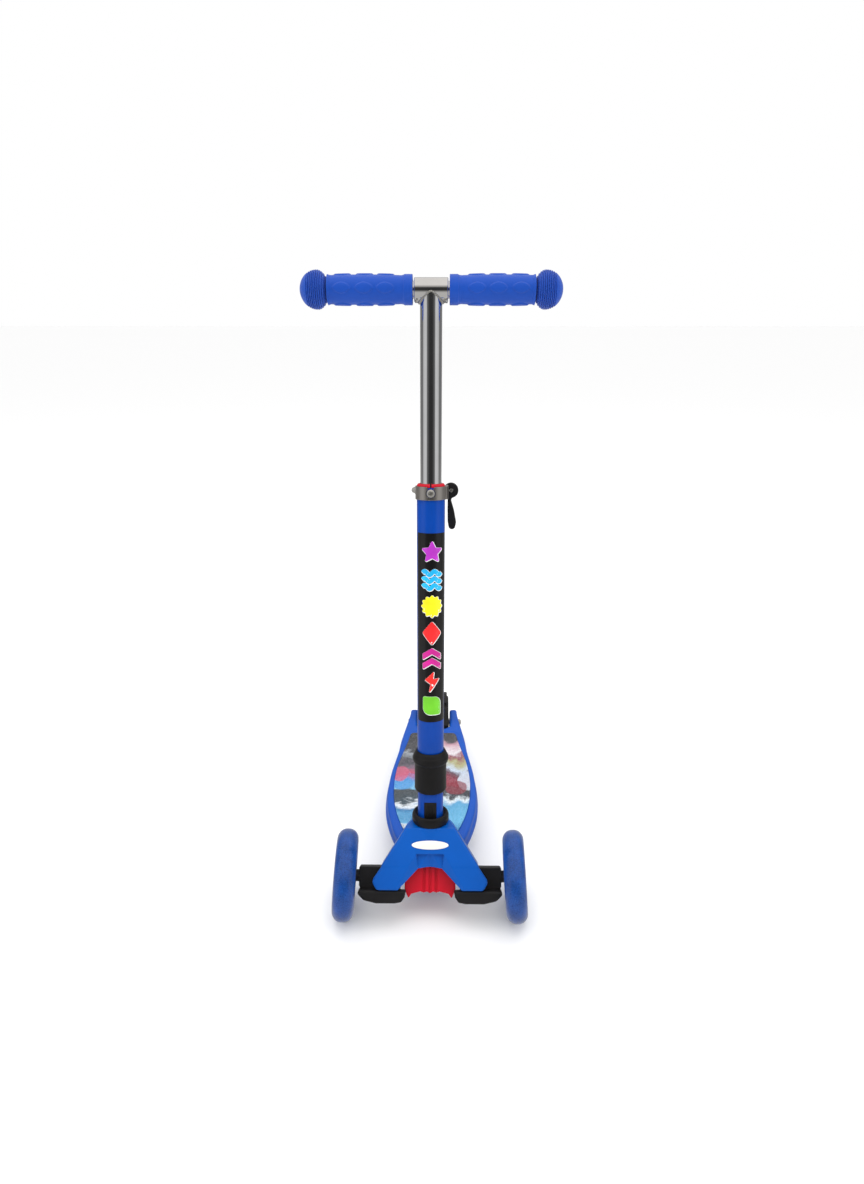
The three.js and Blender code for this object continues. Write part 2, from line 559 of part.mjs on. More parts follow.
function makeDeck() {
  const run = [
    [24, DECK.noseY], [37, 43], [46.4, 64], [54.1, 86], [59.7, 109], [64.6, 132], [67.2, 157],
    [67.9, 183], [67, 210], [64.8, 237], [60.9, 267], [57, 297], [54.9, 325], [50.8, 358],
    [46, 393], [43.6, 412], [42.4, 425],
  ];
  const skirtRun = [
    [24, DECK.noseY], [38, 43], [48, 64], [55.6, 85], [62.2, 107], [67.2, 131], [69.7, 155],
    [70.4, 180], [69.6, 206], [67, 237], [62.6, 267], [58, 297], [55.2, 325], [50.8, 358],
    [46, 393], [43.6, 412], [42.4, 425],
  ];
  const tail = [
    [42.2, 436], [42, DECK.tailY], [DECK.slotHalf, DECK.tailY],
    [DECK.slotHalf, DECK.slotY + 8], [DECK.slotHalf - 8, DECK.slotY],
  ];
  const plan = planOutline(run, tail, 32);
  const skirt = slab(planOutline(skirtRun, tail, 32), 20, DECK.rim);

  const side = new THREE.Shape();
  side.moveTo(20, 60);
  side.lineTo(20, DECK.top);
  side.lineTo(418, DECK.top);
  side.quadraticCurveTo(447.5, DECK.top - 1, 447, 41);
  side.quadraticCurveTo(446, 27, 433, 26.8);
  side.quadraticCurveTo(418, 27, 404, 36);
  side.quadraticCurveTo(392, DECK.bottom, 372, DECK.bottom);
  side.lineTo(44, DECK.bottom);
  side.quadraticCurveTo(34, 46, 20, 60);
  const body = join(slab(plan, 20, 80), skirt).intersect(slab(side, -90, 90, "yz", 5));

  const inset = [
    [33, 48], [43, 66], [49.5, 86], [55, 109], [60, 132], [62.8, 160], [63.2, 183], [61.5, 215],
    [57, 255], [52, 290], [46.8, 335],
  ];
  const pocket = cut(
    slab(planOutline(inset, [[43.4, 358]], 16), 40, DECK.top - DECK.skin),
    box(-5, 5, 0, 400, 30, 90),
    ...[64, 120, 180, 240, 300].map((y) => box(-90, 90, y - 2, y + 2, 30, 90)),
  );
  const bed = slab(matOutline(MAT.frontY, MAT.rearY, 0), DECK.top - MAT.recess, 90);
  const axle = rod(REAR.axleR + GAP, -60, 60, { axis: "x", at: [0, WHEELBASE, REAR.z], facets: FINE });
  const pin = rod(2.8, -36.4, 36.4, { axis: "x", at: [0, BRAKE.y, BRAKE.z], facets: FINE });
  const bolts = [1, -1].map((s) => rod(2.8, 51, 80, { at: [s * 10, 64, 0], facets: 12 }));
  add(scooter, "deck", cut(body, pocket, bed, axle, pin, ...bolts), "deckBlue");

  const sheet = matOutline(MAT.frontY, MAT.rearY, GAP);
  add(scooter, "deck_mat", slab(sheet, DECK.top - MAT.recess + GAP, DECK.top + MAT.proud), "matGrey");
}

function matOutline(front, rear, inset) {
  const run = [
    [37, front + 4], [46.5, 106], [52.8, 130], [56.9, 155], [58.8, 180], [59.3, 206], [57.7, 234],
    [54, 264], [48, 294], [42.4, 325], [39.4, rear - 6],
  ];
  const edge = run.map(([x, y], i) => [x - inset, i === 0 ? y + inset : y]);
  return planOutline([[30, front + inset], ...edge], [[35, rear - inset]], 16);
}

function makeBrake() {
  const arc = (shape, r, from, to, clockwise) =>
    shape.absarc(WHEELBASE, REAR.z, r, from * RAD, to * RAD, clockwise);
  const cover = new THREE.Shape();
  arc(cover, BRAKE.outer, BRAKE.tail, 60, false);
  arc(cover, BRAKE.pedal, 64, 112, false);
  arc(cover, BRAKE.outer, 118, 150, false);
  cover.lineTo(BRAKE.y - 5, BRAKE.z + 4);
  cover.lineTo(BRAKE.y - 5, BRAKE.z - 5);
  cover.lineTo(BRAKE.y + 3, BRAKE.z - 5);
  arc(cover, BRAKE.inner, 156, BRAKE.tail, true);
  const body = slab(cover, -BRAKE.half, BRAKE.half, "yz", 8);
  const lugs = box(-17.5, 17.5, 300, BRAKE.y + 7, 0, 90);
  const hole = rod(2.8, -40, 40, { axis: "x", at: [0, BRAKE.y, BRAKE.z], facets: FINE });
  add(scooter, "brake_fender", cut(body, lugs, hole), "black");

  const pin = { axis: "x", at: [0, BRAKE.y, BRAKE.z], facets: FINE };
  add(scooter, "brake_pin", rod(2.5, -36, 36, pin), "steel");
  const coil = helix(4, 2.2, 5, (a, b, run) => new THREE.Vector3(run - 5.5, BRAKE.y + a, BRAKE.z + b));
  add(scooter, "brake_spring", wire(coil, 0.9, 38), "steel");
}

// ---------- Assembly ----------

makeHandlebar();
makeMast();
makeClampLever();
makeFoldingJoint();
makeStub();
makeHood();
for (const [suffix, side] of [["left", -1], ["right", 1]]) {
  const frame = wheelFrame(side);
  makeSteering(side, suffix, frame);
  makeFrontWheel(side, suffix, frame);
}
makeTieRod();
makeRearWheel();
makeDeck();
makeBrake();

export default scooter;
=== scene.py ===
import math

import bpy
import numpy as np
from bpy.props import FloatProperty, FloatVectorProperty, IntProperty, PointerProperty
from mathutils import Matrix, Vector
from mathutils.geometry import delaunay_2d_cdt


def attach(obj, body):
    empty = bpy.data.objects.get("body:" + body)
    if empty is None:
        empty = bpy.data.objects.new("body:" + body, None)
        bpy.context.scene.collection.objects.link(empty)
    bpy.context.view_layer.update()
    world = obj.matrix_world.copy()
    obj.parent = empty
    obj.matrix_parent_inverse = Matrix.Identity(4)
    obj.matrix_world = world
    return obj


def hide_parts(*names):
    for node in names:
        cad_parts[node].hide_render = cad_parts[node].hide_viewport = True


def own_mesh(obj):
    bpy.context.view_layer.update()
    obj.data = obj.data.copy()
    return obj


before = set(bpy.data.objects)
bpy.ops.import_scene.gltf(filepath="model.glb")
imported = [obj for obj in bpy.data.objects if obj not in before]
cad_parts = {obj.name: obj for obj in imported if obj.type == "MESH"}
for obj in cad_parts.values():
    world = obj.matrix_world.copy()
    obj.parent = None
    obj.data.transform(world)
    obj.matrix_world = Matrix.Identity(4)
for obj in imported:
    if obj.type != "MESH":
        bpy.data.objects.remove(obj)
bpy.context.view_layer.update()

bl_info = {
    "name": "Kick Scooter",
    "version": (1, 0, 0),
    "blender": (4, 5, 0),
    "location": "3D View > Sidebar > Scooter",
    "description": "Makes the visible pieces of a child's folding kick scooter on its frame",
    "category": "Object",
}

MM = 0.001
SIDES = (("left", -1), ("right", 1))

# ---------- Frames: a piece is drawn in millimetres in the frame of the part it belongs to ----------


def moved(x, y, z):
    return Matrix.Translation((x, y, z))


def turned(axis, degrees):
    return Matrix.Rotation(math.radians(degrees), 4, axis)


LEAN, RAKE, CAMBER, TOE = 7.15, 30, 5, 3
TRACK, WHEELBASE = 112, 433
FRONT_R, FRONT_CROWN, REAR_R = 58.5, 13, 40
KING_X, ARM_Y = 48, 22  # a kingpin's place across, and the tie pin's behind it, in the truck's frame
BOLT_X, BOLT_Y = 10, 64  # the two bolts that hold the hood's foot to the deck
BRAKE_Y, BRAKE_Z = 386, 57  # the foot brake's hinge
BAR_T, GRIP_OUT = 655.5, 149.3
CLAMP_T = 427  # the height of the clamp bolt along the mast


def wheel_reach(degrees):
    """How far a front wheel's crowned tread reaches from its axle once it is tilted by an angle."""
    return (FRONT_R - FRONT_CROWN) * math.cos(math.radians(degrees)) + FRONT_CROWN


AXLE_Z = wheel_reach(CAMBER)
ROW_Y = -(WHEELBASE + REAR_R - wheel_reach(TOE)) / 2  # the front axle, from the middle of the length

DECK = moved(0, ROW_Y, 0)
STEM = moved(0, 32.6 + ROW_Y, 130.4) @ turned("X", -LEAN)
TRUCK = moved(0, ROW_Y, AXLE_Z) @ turned("X", -RAKE)
REAR_AXLE = moved(0, WHEELBASE + ROW_Y, REAR_R)
ALONG_X, ALONG_Y = turned("Y", 90), turned("X", -90)
BAR = STEM @ moved(0, 0, BAR_T) @ ALONG_X


def wheel_frame(side):
    tilt = turned("Z", -side * TOE) @ turned("Y", -side * CAMBER)
    return moved(side * TRACK, ROW_Y, AXLE_Z) @ tilt


def through(matrix, x, y, z):
    """The coordinates x, y, z carried through a matrix, whatever their array shapes."""
    m = np.array(matrix)
    return [m[k, 0] * x + m[k, 1] * y + m[k, 2] * z + m[k, 3] for k in range(3)]


# ---------- Lines and outlines ----------


def eased(corners, closed=True, steps=5):
    """Corners (a, b) or (a, b, radius) as a line of points, each radius drawn as an arc."""
    line = []
    for i, corner in enumerate(corners):
        at = np.array(corner[:2], float)
        radius = corner[2] if len(corner) > 2 else 0
        if not radius or (not closed and i in (0, len(corners) - 1)):
            line.append(tuple(at))
            continue
        back = np.array(corners[i - 1][:2], float) - at
        ahead = np.array(corners[(i + 1) % len(corners)][:2], float) - at
        back_long, ahead_long = np.linalg.norm(back), np.linalg.norm(ahead)
        back, ahead = back / back_long, ahead / ahead_long
        half = math.acos(float(np.clip(back @ ahead, -1, 1))) / 2
        reach = min(radius / math.tan(half), 0.49 * back_long, 0.49 * ahead_long)
        radius = reach * math.tan(half)
        way = (back + ahead) / np.linalg.norm(back + ahead)
        centre = at + way * radius / math.sin(half)
        first, last = at + back * reach - centre, at + ahead * reach - centre
        start = math.atan2(first[1], first[0])
        sweep = (math.atan2(last[1], last[0]) - start + math.pi) % (2 * math.pi) - math.pi
        for k in range(steps + 1):
            angle = start + sweep * k / steps
            line.append(tuple(centre + radius * np.array([math.cos(angle), math.sin(angle)])))
    return line


def both_sides(corners):
    """A right-hand run of corners closed with its mirror image on the left."""
    left = [(-c[0], *c[1:]) for c in corners if c[0] > 0]
    return [*corners, *reversed(left)]


def ellipse(a, b, count, cx=0.0, cy=0.0):
    angles = [2 * math.pi * i / count for i in range(count)]
    return [(cx + a * math.cos(t), cy + b * math.sin(t)) for t in angles]


# ---------- Shells: a list of points and a list of faces ----------


def merged(points, faces):
    """The shell with points that coincide joined and the faces that collapse left out."""
    points = np.asarray(points, float)
    _, first, where = np.unique(
        np.round(points, 4), axis=0, return_index=True, return_inverse=True
    )
    where = where.reshape(-1)
    kept = []
    for face in faces:
        ring = [int(where[v]) for v in face]
        ring = [v for i, v in enumerate(ring) if v != ring[i - 1]]
        if len(set(ring)) > 2:
            kept.append(ring)
    return points[first], kept


def grid_faces(rows, columns, wrap_rows=False, wrap_columns=True):
    faces = []
    for i in range(rows if wrap_rows else rows - 1):
        for j in range(columns if wrap_columns else columns - 1):
            a, b = i * columns, (i + 1) % rows * columns
            k = (j + 1) % columns
            faces.append((a + j, a + k, b + k, b + j))
    return faces


def hexed(angle):
    """How much further out a hexagon's edge lies than its flats, at an angle."""
    return 1 / math.cos((angle + math.pi / 6) % (math.pi / 3) - math.pi / 6)


def lathe(profile, segments=72, closed=False, hex_points=(), arc=None):
    """A profile of (radius, height) turned about Z; hex_points are the profile points drawn as hexagons."""
    span = arc or (0, 360)
    count = segments + 1 if arc else segments
    angles = [math.radians(span[0] + (span[1] - span[0]) * i / segments) for i in range(count)]
    points = []
    for i, (r, h) in enumerate(profile):
        for t in angles:
            out = r * hexed(t) if i in hex_points else r
            points.append((out * math.sin(t), -out * math.cos(t), h))
    faces = grid_faces(len(profile), count, wrap_rows=closed, wrap_columns=not arc)
    if arc:
        rows = range(len(profile))
        faces.append([i * count for i in rows][::-1])
        faces.append([i * count + count - 1 for i in rows])
    return merged(points, faces)


def at_radius(profile, radius):
    """The numbers of the profile points that lie at a radius, such as a hexagon socket's."""
    return [i for i, (r, _) in enumerate(profile) if r == radius]


def ring(inner, outer, low, high, edge=0.4, **options):
    """A pipe with softened edges."""
    profile = [(inner, low, edge), (outer, low, edge), (outer, high, edge), (inner, high, edge)]
    return lathe(eased(profile, steps=3), closed=True, **options)


def plate(outline, low, high, rim=0.4, place=None):
    """An outline in the XY plane pushed up from low to high, with softened rims."""
    points = np.array(outline, float)
    ahead = np.roll(points, -1, 0) - np.roll(points, 1, 0)
    area = np.sum(points[:, 0] * np.roll(points[:, 1], -1) - np.roll(points[:, 0], -1) * points[:, 1])
    inward = np.stack([-ahead[:, 1], ahead[:, 0]], 1) * np.sign(area)
    inward /= np.maximum(np.linalg.norm(inward, axis=1, keepdims=True), 1e-9)
    rows = []
    for share, height in ((1, low), (0.3, low + 0.3 * rim), (0, low + rim)):
        rows.append(np.column_stack([points + inward * rim * share, np.full(len(points), height)]))
    for share, height in ((0, high - rim), (0.3, high - 0.3 * rim), (1, high)):
        rows.append(np.column_stack([points + inward * rim * share, np.full(len(points), height)]))
    count = len(points)
    faces = grid_faces(len(rows), count)
    faces.append(list(range(count))[::-1])
    faces.append([(len(rows) - 1) * count + i for i in range(count)])
    made = np.vstack(rows)
    if place is not None:
        made = np.stack(through(place, *made.T), 1)
    return merged(made, faces)


def sweep(path, radii, sides=10, closed=False):
    """A round section carried along a path of points, with its own radius at each."""
    path = np.asarray(path, float)
    count = len(path)
    radii = np.broadcast_to(radii, (count,))
    tangents = np.gradient(path, axis=0)
    if closed:
        tangents = np.roll(path, -1, 0) - np.roll(path, 1, 0)
    tangents /= np.linalg.norm(tangents, axis=1, keepdims=True)
    up = np.array([0.31, 0.17, 0.94])
    points = []
    for at, along, r in zip(path, tangents, radii):
        side = np.cross(along, up)
        side /= np.linalg.norm(side)
        up = np.cross(side, along)
        for k in range(sides):
            t = 2 * math.pi * k / sides
            points.append(at + r * (math.cos(t) * side + math.sin(t) * up))
    faces = grid_faces(count, sides, wrap_rows=closed)
    if not closed:
        faces.append(list(range(sides))[::-1])
        faces.append([(count - 1) * sides + k for k in range(sides)])
    return merged(points, faces)


def together(*shells):
    points, faces, base = [], [], 0
    for made in shells:
        points.append(np.asarray(made[0], float))
        faces.extend([v + base for v in face] for face in made[1])
        base += len(made[0])
    return np.vstack(points), faces


def placed(shell, matrix):
    return np.stack(through(matrix, *np.asarray(shell[0], float).T), 1), shell[1]


# ---------- Moulded shapes: distance fields and the skin that wraps them ----------


def polygon_field(x, y, outline):
    """Signed distance to a closed outline, negative inside it."""
    nearest, inside = None, None
    for (ax, ay), (bx, by) in zip(outline, [*outline[1:], outline[0]]):
        ex, ey = bx - ax, by - ay
        if ex * ex + ey * ey < 1e-12:
            continue
        wx, wy = x - ax, y - ay
        t = np.clip((wx * ex + wy * ey) / (ex * ex + ey * ey), 0, 1)
        apart = (wx - ex * t) ** 2 + (wy - ey * t) ** 2
        nearest = apart if nearest is None else np.minimum(nearest, apart)
        if ay != by:
            crosses = ((ay > y) != (by > y)) & (x < ex * (y - ay) / ey + ax)
            inside = crosses if inside is None else inside ^ crosses
    return np.where(inside, -1, 1) * np.sqrt(nearest)


def slab_field(flat, across, low, high, rim=0.0):
    """A 2-D distance pushed from low to high, with a rounded rim."""
    a = flat + rim
    b = np.abs(across - (low + high) / 2) - (high - low) / 2 + rim
    return np.minimum(np.maximum(a, b), 0) + np.hypot(np.maximum(a, 0), np.maximum(b, 0)) - rim


def box_field(x, y, z, low, high, rim=0.0):
    gaps = [
        np.abs(c - (a + b) / 2) - (b - a) / 2 + rim
        for c, a, b in zip((x, y, z), low, high)
    ]
    outside = np.sqrt(sum(np.maximum(g, 0) ** 2 for g in gaps))
    return outside + np.minimum(np.maximum(np.maximum(gaps[0], gaps[1]), gaps[2]), 0) - rim


def rod_field(x, y, z, r, low, high, rim=0.0):
    return slab_field(np.hypot(x, y) - r, z, low, high, rim)


def joined(a, b, soft=0.0):
    """The union of two fields, with a fillet of about soft millimetres where they meet."""
    if not soft:
        return np.minimum(a, b)
    h = np.maximum(soft - np.abs(a - b), 0) / soft
    return np.minimum(a, b) - h * h * soft / 4


def without(a, b, soft=0.0):
    return -joined(-a, b, soft)


def common(a, b, soft=0.0):
    return -joined(-a, -b, soft)


def skin(field, low, high, step):
    """The surface where field(x, y, z) is zero, with one point in each cell it passes through."""
    low, high = np.array(low, float), np.array(high, float)
    counts = np.ceil((high - low) / step).astype(int) + 1
    axes = [low[k] + step * np.arange(counts[k]) for k in range(3)]
    values = np.array(np.broadcast_to(field(*np.meshgrid(*axes, indexing="ij", sparse=True)), counts))
    inside = values < 0
    filled = np.zeros(counts - 1, np.int8)
    for i in (0, 1):
        for j in (0, 1):
            for k in (0, 1):
                last = [c - 1 + d for c, d in zip(counts, (i, j, k))]
                filled += inside[i : last[0], j : last[1], k : last[2]]
    active = (filled > 0) & (filled < 8)
    number = np.full(active.shape, -1)
    number[active] = np.arange(active.sum())
    cells = np.argwhere(active)
    total, weight = np.zeros((len(cells), 3)), np.zeros(len(cells))
    unit = np.eye(3, dtype=int)
    for axis in range(3):
        for corner in ((0, 0), (0, 1), (1, 0), (1, 1)):
            start = cells + corner[0] * unit[axis - 1] + corner[1] * unit[axis - 2]
            a, b = values[tuple(start.T)], values[tuple((start + unit[axis]).T)]
            crosses = (a < 0) != (b < 0)
            share = np.where(crosses, a / np.where(crosses, a - b, 1), 0)
            spot = start + share[:, None] * unit[axis]
            total += spot * crosses[:, None]
            weight += crosses
    points = low + step * total / weight[:, None]
    points = settled(field, points, step)
    faces = []
    for axis in range(3):
        u, v = axis - 1, axis - 2
        cut = [slice(1, -1)] * 3
        near, far = list(cut), list(cut)
        near[axis], far[axis] = slice(0, -1), slice(1, None)
        a, b = inside[tuple(near)], inside[tuple(far)]
        spots = np.argwhere(a != b)
        outward = a[tuple(spots.T)]
        spots = spots + unit[u] + unit[v]
        around = [spots - i * unit[u] - j * unit[v] for i, j in ((0, 0), (1, 0), (1, 1), (0, 1))]
        quads = np.stack([number[tuple(c.T)] for c in around], 1)
        faces.append(np.where(outward[:, None], quads[:, ::-1], quads))
    return points, np.vstack(faces).tolist()


def settled(field, points, step):
    """Points drawn on to the surface along the field's slope."""
    e = 0.1 * step
    for _ in range(2):
        x, y, z = points.T
        slope = np.stack(
            [
                field(x + e, y, z) - field(x - e, y, z),
                field(x, y + e, z) - field(x, y - e, z),
                field(x, y, z + e) - field(x, y, z - e),
            ],
            1,
        ) / (2 * e)
        size = np.maximum((slope**2).sum(1), 0.2)
        step_back = -(field(x, y, z) / size)[:, None] * slope
        points = points + np.clip(step_back, -0.4 * step, 0.4 * step)
    return points


# ---------- From a shell to a piece that rides on its body ----------


def volume(mesh):
    mesh.calc_loop_triangles()
    corners = np.zeros(len(mesh.loop_triangles) * 3, np.int32)
    mesh.loop_triangles.foreach_get("vertices", corners)
    spots = np.zeros(len(mesh.vertices) * 3)
    mesh.vertices.foreach_get("co", spots)
    a, b, c = spots.reshape(-1, 3)[corners.reshape(-1, 3)].transpose(1, 0, 2)
    return float(np.einsum("ij,ij->i", a, np.cross(b, c)).sum())


def object_of(name, shell, place):
    mesh = bpy.data.meshes.new(name)
    points = np.stack(through(place, *np.asarray(shell[0], float).T), 1) * MM
    mesh.from_pydata(points.tolist(), [], [list(face) for face in shell[1]])
    if volume(mesh) < 0:
        mesh.flip_normals()
    made = bpy.data.objects.new(name, mesh)
    bpy.context.scene.collection.objects.link(made)
    return made


def finished(made, body, material, stands_for, crease):
    """Gives an object its finish and its body, and hides the plain nodes that it stands for."""
    made.data.materials.clear()
    made.data.materials.append(material)
    made.data.shade_smooth()
    made.data.set_sharp_from_angle(angle=math.radians(crease))
    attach(made, body)
    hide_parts(*stands_for)
    return made


def piece(name, shell, place, body, material, stands_for=(), crease=32):
    made = object_of(name, shell, place)
    return finished(made, body, material, stands_for, crease)


def baked(made):
    """The object's mesh with its modifiers carried out and removed."""
    view = bpy.context.evaluated_depsgraph_get()
    mesh = bpy.data.meshes.new_from_object(made.evaluated_get(view))
    made.modifiers.clear()
    old, made.data = made.data, mesh
    mesh.name = made.name
    bpy.data.meshes.remove(old)
    return made


def carved(name, shell, tools, place, edge=0.0):
    """A shell with other shells cut out of it, its new edges slightly broken."""
    made = object_of(name, shell, place)
    for tool in tools:
        cutter = object_of(name + "_tool", tool, place)
        cut = made.modifiers.new("cut", "BOOLEAN")
        cut.operation, cut.solver, cut.object = "DIFFERENCE", "EXACT", cutter
        baked(made)
        bpy.data.objects.remove(cutter)
    if edge:
        soften(made, edge)
    return made


def soften(made, width, angle=30):
    edge = made.modifiers.new("edge", "BEVEL")
    edge.width, edge.segments, edge.limit_method = width * MM, 2, "ANGLE"
    edge.angle_limit, edge.use_clamp_overlap = math.radians(angle), True
    return baked(made)


def box_shell(low, high):
    (x0, y0, z0), (x1, y1, z1) = low, high
    return plate([(x0, y0), (x1, y0), (x1, y1), (x0, y1)], z0, z1, rim=1e-3)


def refined(node, body, material, width=0.35):
    """A copy of a plain node with its corners merged and its edges broken, which stands for it."""
    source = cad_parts[node].data
    spots = np.zeros(len(source.vertices) * 3)
    source.vertices.foreach_get("co", spots)
    faces = [list(p.vertices) for p in source.polygons]
    shell = merged(spots.reshape(-1, 3) / MM, faces)
    made = object_of(node + "_finished", shell, Matrix.Identity(4))
    flat = made.modifiers.new("flat", "DECIMATE")
    flat.decimate_type, flat.angle_limit = "DISSOLVE", math.radians(1)
    baked(made)
    soften(made, width)
    return finished(made, body, material, [node], 32)


# ---------- Geometry Nodes: springs and rows of ribs ----------


def new_tree(name, inputs):
    tree = bpy.data.node_groups.new(name, "GeometryNodeTree")
    tree.interface.new_socket("Geometry", in_out="OUTPUT", socket_type="NodeSocketGeometry")
    for label, kind, value in inputs:
        socket = tree.interface.new_socket(label, in_out="INPUT", socket_type="NodeSocket" + kind)
        if value is not None:
            socket.default_value = value
    return tree, tree.nodes.new("NodeGroupInput"), tree.nodes.new("NodeGroupOutput")


def end_tree(tree, last, source, out):
    """Realize Instances and Set Material, then the output."""
    real = tree.nodes.new("GeometryNodeRealizeInstances")
    paint = tree.nodes.new("GeometryNodeSetMaterial")
    tree.links.new(last, real.inputs[0])
    tree.links.new(real.outputs[0], paint.inputs["Geometry"])
    tree.links.new(source.outputs["Finish"], paint.inputs["Material"])
    tree.links.new(paint.outputs[0], out.inputs[0])


def spring_tree():
    """A wire coiled about Z, from the number of turns, radius, length and wire radius."""
    tree, source, out = new_tree(
        "coil_spring",
        [
            ("Turns", "Float", 6.0),
            ("Coil Radius", "Float", 0.004),
            ("Length", "Float", 0.02),
            ("Wire Radius", "Float", 0.0008),
            ("Finish", "Material", None),
        ],
    )
    spiral = tree.nodes.new("GeometryNodeCurveSpiral")
    spiral.inputs["Resolution"].default_value = 24
    for label, socket in (("Turns", "Rotations"), ("Coil Radius", "Start Radius"), ("Length", "Height")):
        tree.links.new(source.outputs[label], spiral.inputs[socket])
    tree.links.new(source.outputs["Coil Radius"], spiral.inputs["End Radius"])
    section = tree.nodes.new("GeometryNodeCurvePrimitiveCircle")
    section.inputs["Resolution"].default_value = 10
    tree.links.new(source.outputs["Wire Radius"], section.inputs["Radius"])
    wire = tree.nodes.new("GeometryNodeCurveToMesh")
    wire.inputs["Fill Caps"].default_value = True
    tree.links.new(spiral.outputs[0], wire.inputs["Curve"])
    tree.links.new(section.outputs[0], wire.inputs["Profile Curve"])
    end_tree(tree, wire.outputs[0], source, out)
    return tree


def row_tree():
    """Copies of one rib laid out in a row, from the first place, the step between them and their number."""
    tree, source, out = new_tree(
        "row_of_ribs",
        [
            ("Rib", "Object", None),
            ("Count", "Int", 5),
            ("First", "Vector", (0.0, 0.0, 0.0)),
            ("Step", "Vector", (0.002, 0.0, 0.0)),
            ("Finish", "Material", None),
        ],
    )
    line = tree.nodes.new("GeometryNodeMeshLine")
    line.mode = "OFFSET"
    tree.links.new(source.outputs["Count"], line.inputs["Count"])
    tree.links.new(source.outputs["First"], line.inputs["Start Location"])
    tree.links.new(source.outputs["Step"], line.inputs["Offset"])
    rib = tree.nodes.new("GeometryNodeObjectInfo")
    tree.links.new(source.outputs["Rib"], rib.inputs["Object"])
    copies = tree.nodes.new("GeometryNodeInstanceOnPoints")
    tree.links.new(line.outputs[0], copies.inputs["Points"])
    tree.links.new(rib.outputs["Geometry"], copies.inputs["Instance"])
    end_tree(tree, copies.outputs[0], source, out)
    return tree


def grown(name, tree, values):
    """A mesh object made by a node tree, its inputs set by identifier, as a plain mesh."""
    made = bpy.data.objects.new(name, bpy.data.meshes.new(name))
    bpy.context.scene.collection.objects.link(made)
    maker = made.modifiers.new("maker", "NODES")
    maker.node_group = tree
    for item in tree.interface.items_tree:
        if item.in_out == "INPUT" and item.name in values:
            maker[item.identifier] = values[item.name]
    return baked(made)


def settle_in(made, place):
    """Carries a mesh drawn in metres in a part's own frame to where that part is."""
    m = np.array(place)
    m[:3, 3] *= MM
    made.data.transform(Matrix(m))
    return made


def ribs(name, shell, count, first, step, place, body, material):
    """A row of the same rib on a surface."""
    pattern = object_of(name + "_pattern", shell, Matrix.Identity(4))
    values = {
        "Rib": pattern,
        "Count": count,
        "First": [c * MM for c in first],
        "Step": [c * MM for c in step],
        "Finish": material,
    }
    made = settle_in(grown(name, row_tree(), values), place)
    bpy.data.objects.remove(pattern)
    return finished(made, body, material, [], 32)


def spring(name, turns, radius, length, wire, place, body, stands_for):
    values = {
        "Turns": float(turns),
        "Coil Radius": radius * MM,
        "Length": length * MM,
        "Wire Radius": wire * MM,
        "Finish": finish("zinc"),
    }
    made = settle_in(grown(name, spring_tree(), values), place)
    return finished(made, body, finish("zinc"), stands_for, 60)


# ---------- Finishes ----------


def linear(rgb):
    """An 8-bit screen colour as the linear values a shader takes."""
    out = []
    for c in rgb:
        c /= 255
        out.append(c / 12.92 if c <= 0.04045 else ((c + 0.055) / 1.055) ** 2.4)
    return out


class Nodes:
    """Short ways to add nodes to a shader tree."""

    def __init__(self, tree):
        self.tree = tree

    def node(self, kind, settings=None, **inputs):
        made = self.tree.nodes.new("ShaderNode" + kind)
        for key, value in (settings or {}).items():
            setattr(made, key, value)
        for label, value in inputs.items():
            socket = made.inputs[int(label[1:])] if label[0] == "i" and label[1:].isdigit() else None
            socket = socket or made.inputs[label.replace("_", " ")]
            if isinstance(value, bpy.types.NodeSocket):
                self.tree.links.new(value, socket)
            else:
                socket.default_value = value
        return made

    def place(self, matrix=None, stretch=(1, 1, 1)):
        """Object coordinates in millimetres in a part's own frame."""
        back = (matrix or Matrix.Identity(4)).inverted()
        spot = self.node("TexCoord").outputs["Object"]
        in_millimetres = self.node("Mapping", Vector=spot, Scale=(1 / MM, 1 / MM, 1 / MM))
        turn = self.node(
            "Mapping",
            Vector=in_millimetres.outputs[0],
            Rotation=back.to_euler(),
            Location=back.to_translation(),
        )
        return self.node("Mapping", Vector=turn.outputs[0], Scale=stretch).outputs[0]

    def noise(self, spot, scale, detail=2.0, rough=0.5):
        made = self.node("TexNoise", Vector=spot, Scale=scale, Detail=detail, Roughness=rough)
        return made.outputs["Fac"]

    def ramp(self, value, stops):
        made = self.node("ValToRGB", Fac=value)
        band = made.color_ramp
        while len(band.elements) < len(stops):
            band.elements.new(0.5)
        for element, (at, colour) in zip(band.elements, stops):
            element.position = at
            element.color = (*colour, 1) if hasattr(colour, "__len__") else (colour,) * 3 + (1,)
        return made.outputs["Color"]

    def math(self, operation, a, b=0.0, clamp=False):
        made = self.node("Math", {"operation": operation, "use_clamp": clamp}, i0=a, i1=b)
        return made.outputs[0]

    def mix(self, factor, a, b):
        made = self.node("Mix", {"data_type": "RGBA"}, i0=factor, i6=a, i7=b)
        return made.outputs[2]

    def bump(self, height, distance):
        return self.node("Bump", Height=height, Distance=distance, Strength=1.0).outputs[0]


class Finish(Nodes):
    """A material being drawn, and its shader."""

    def __init__(self, name, **sockets):
        self.material = bpy.data.materials.new(name)
        self.material.use_nodes = True
        super().__init__(self.material.node_tree)
        self.shader = next(n for n in self.tree.nodes if n.type == "BSDF_PRINCIPLED")
        for label, value in sockets.items():
            self.shader.inputs[label.replace("_", " ")].default_value = value

    def feed(self, label, output):
        self.tree.links.new(output, self.shader.inputs[label])


def shade(colour, factor):
    return [min(1.0, c * factor) for c in colour[:3]] + [1.0]


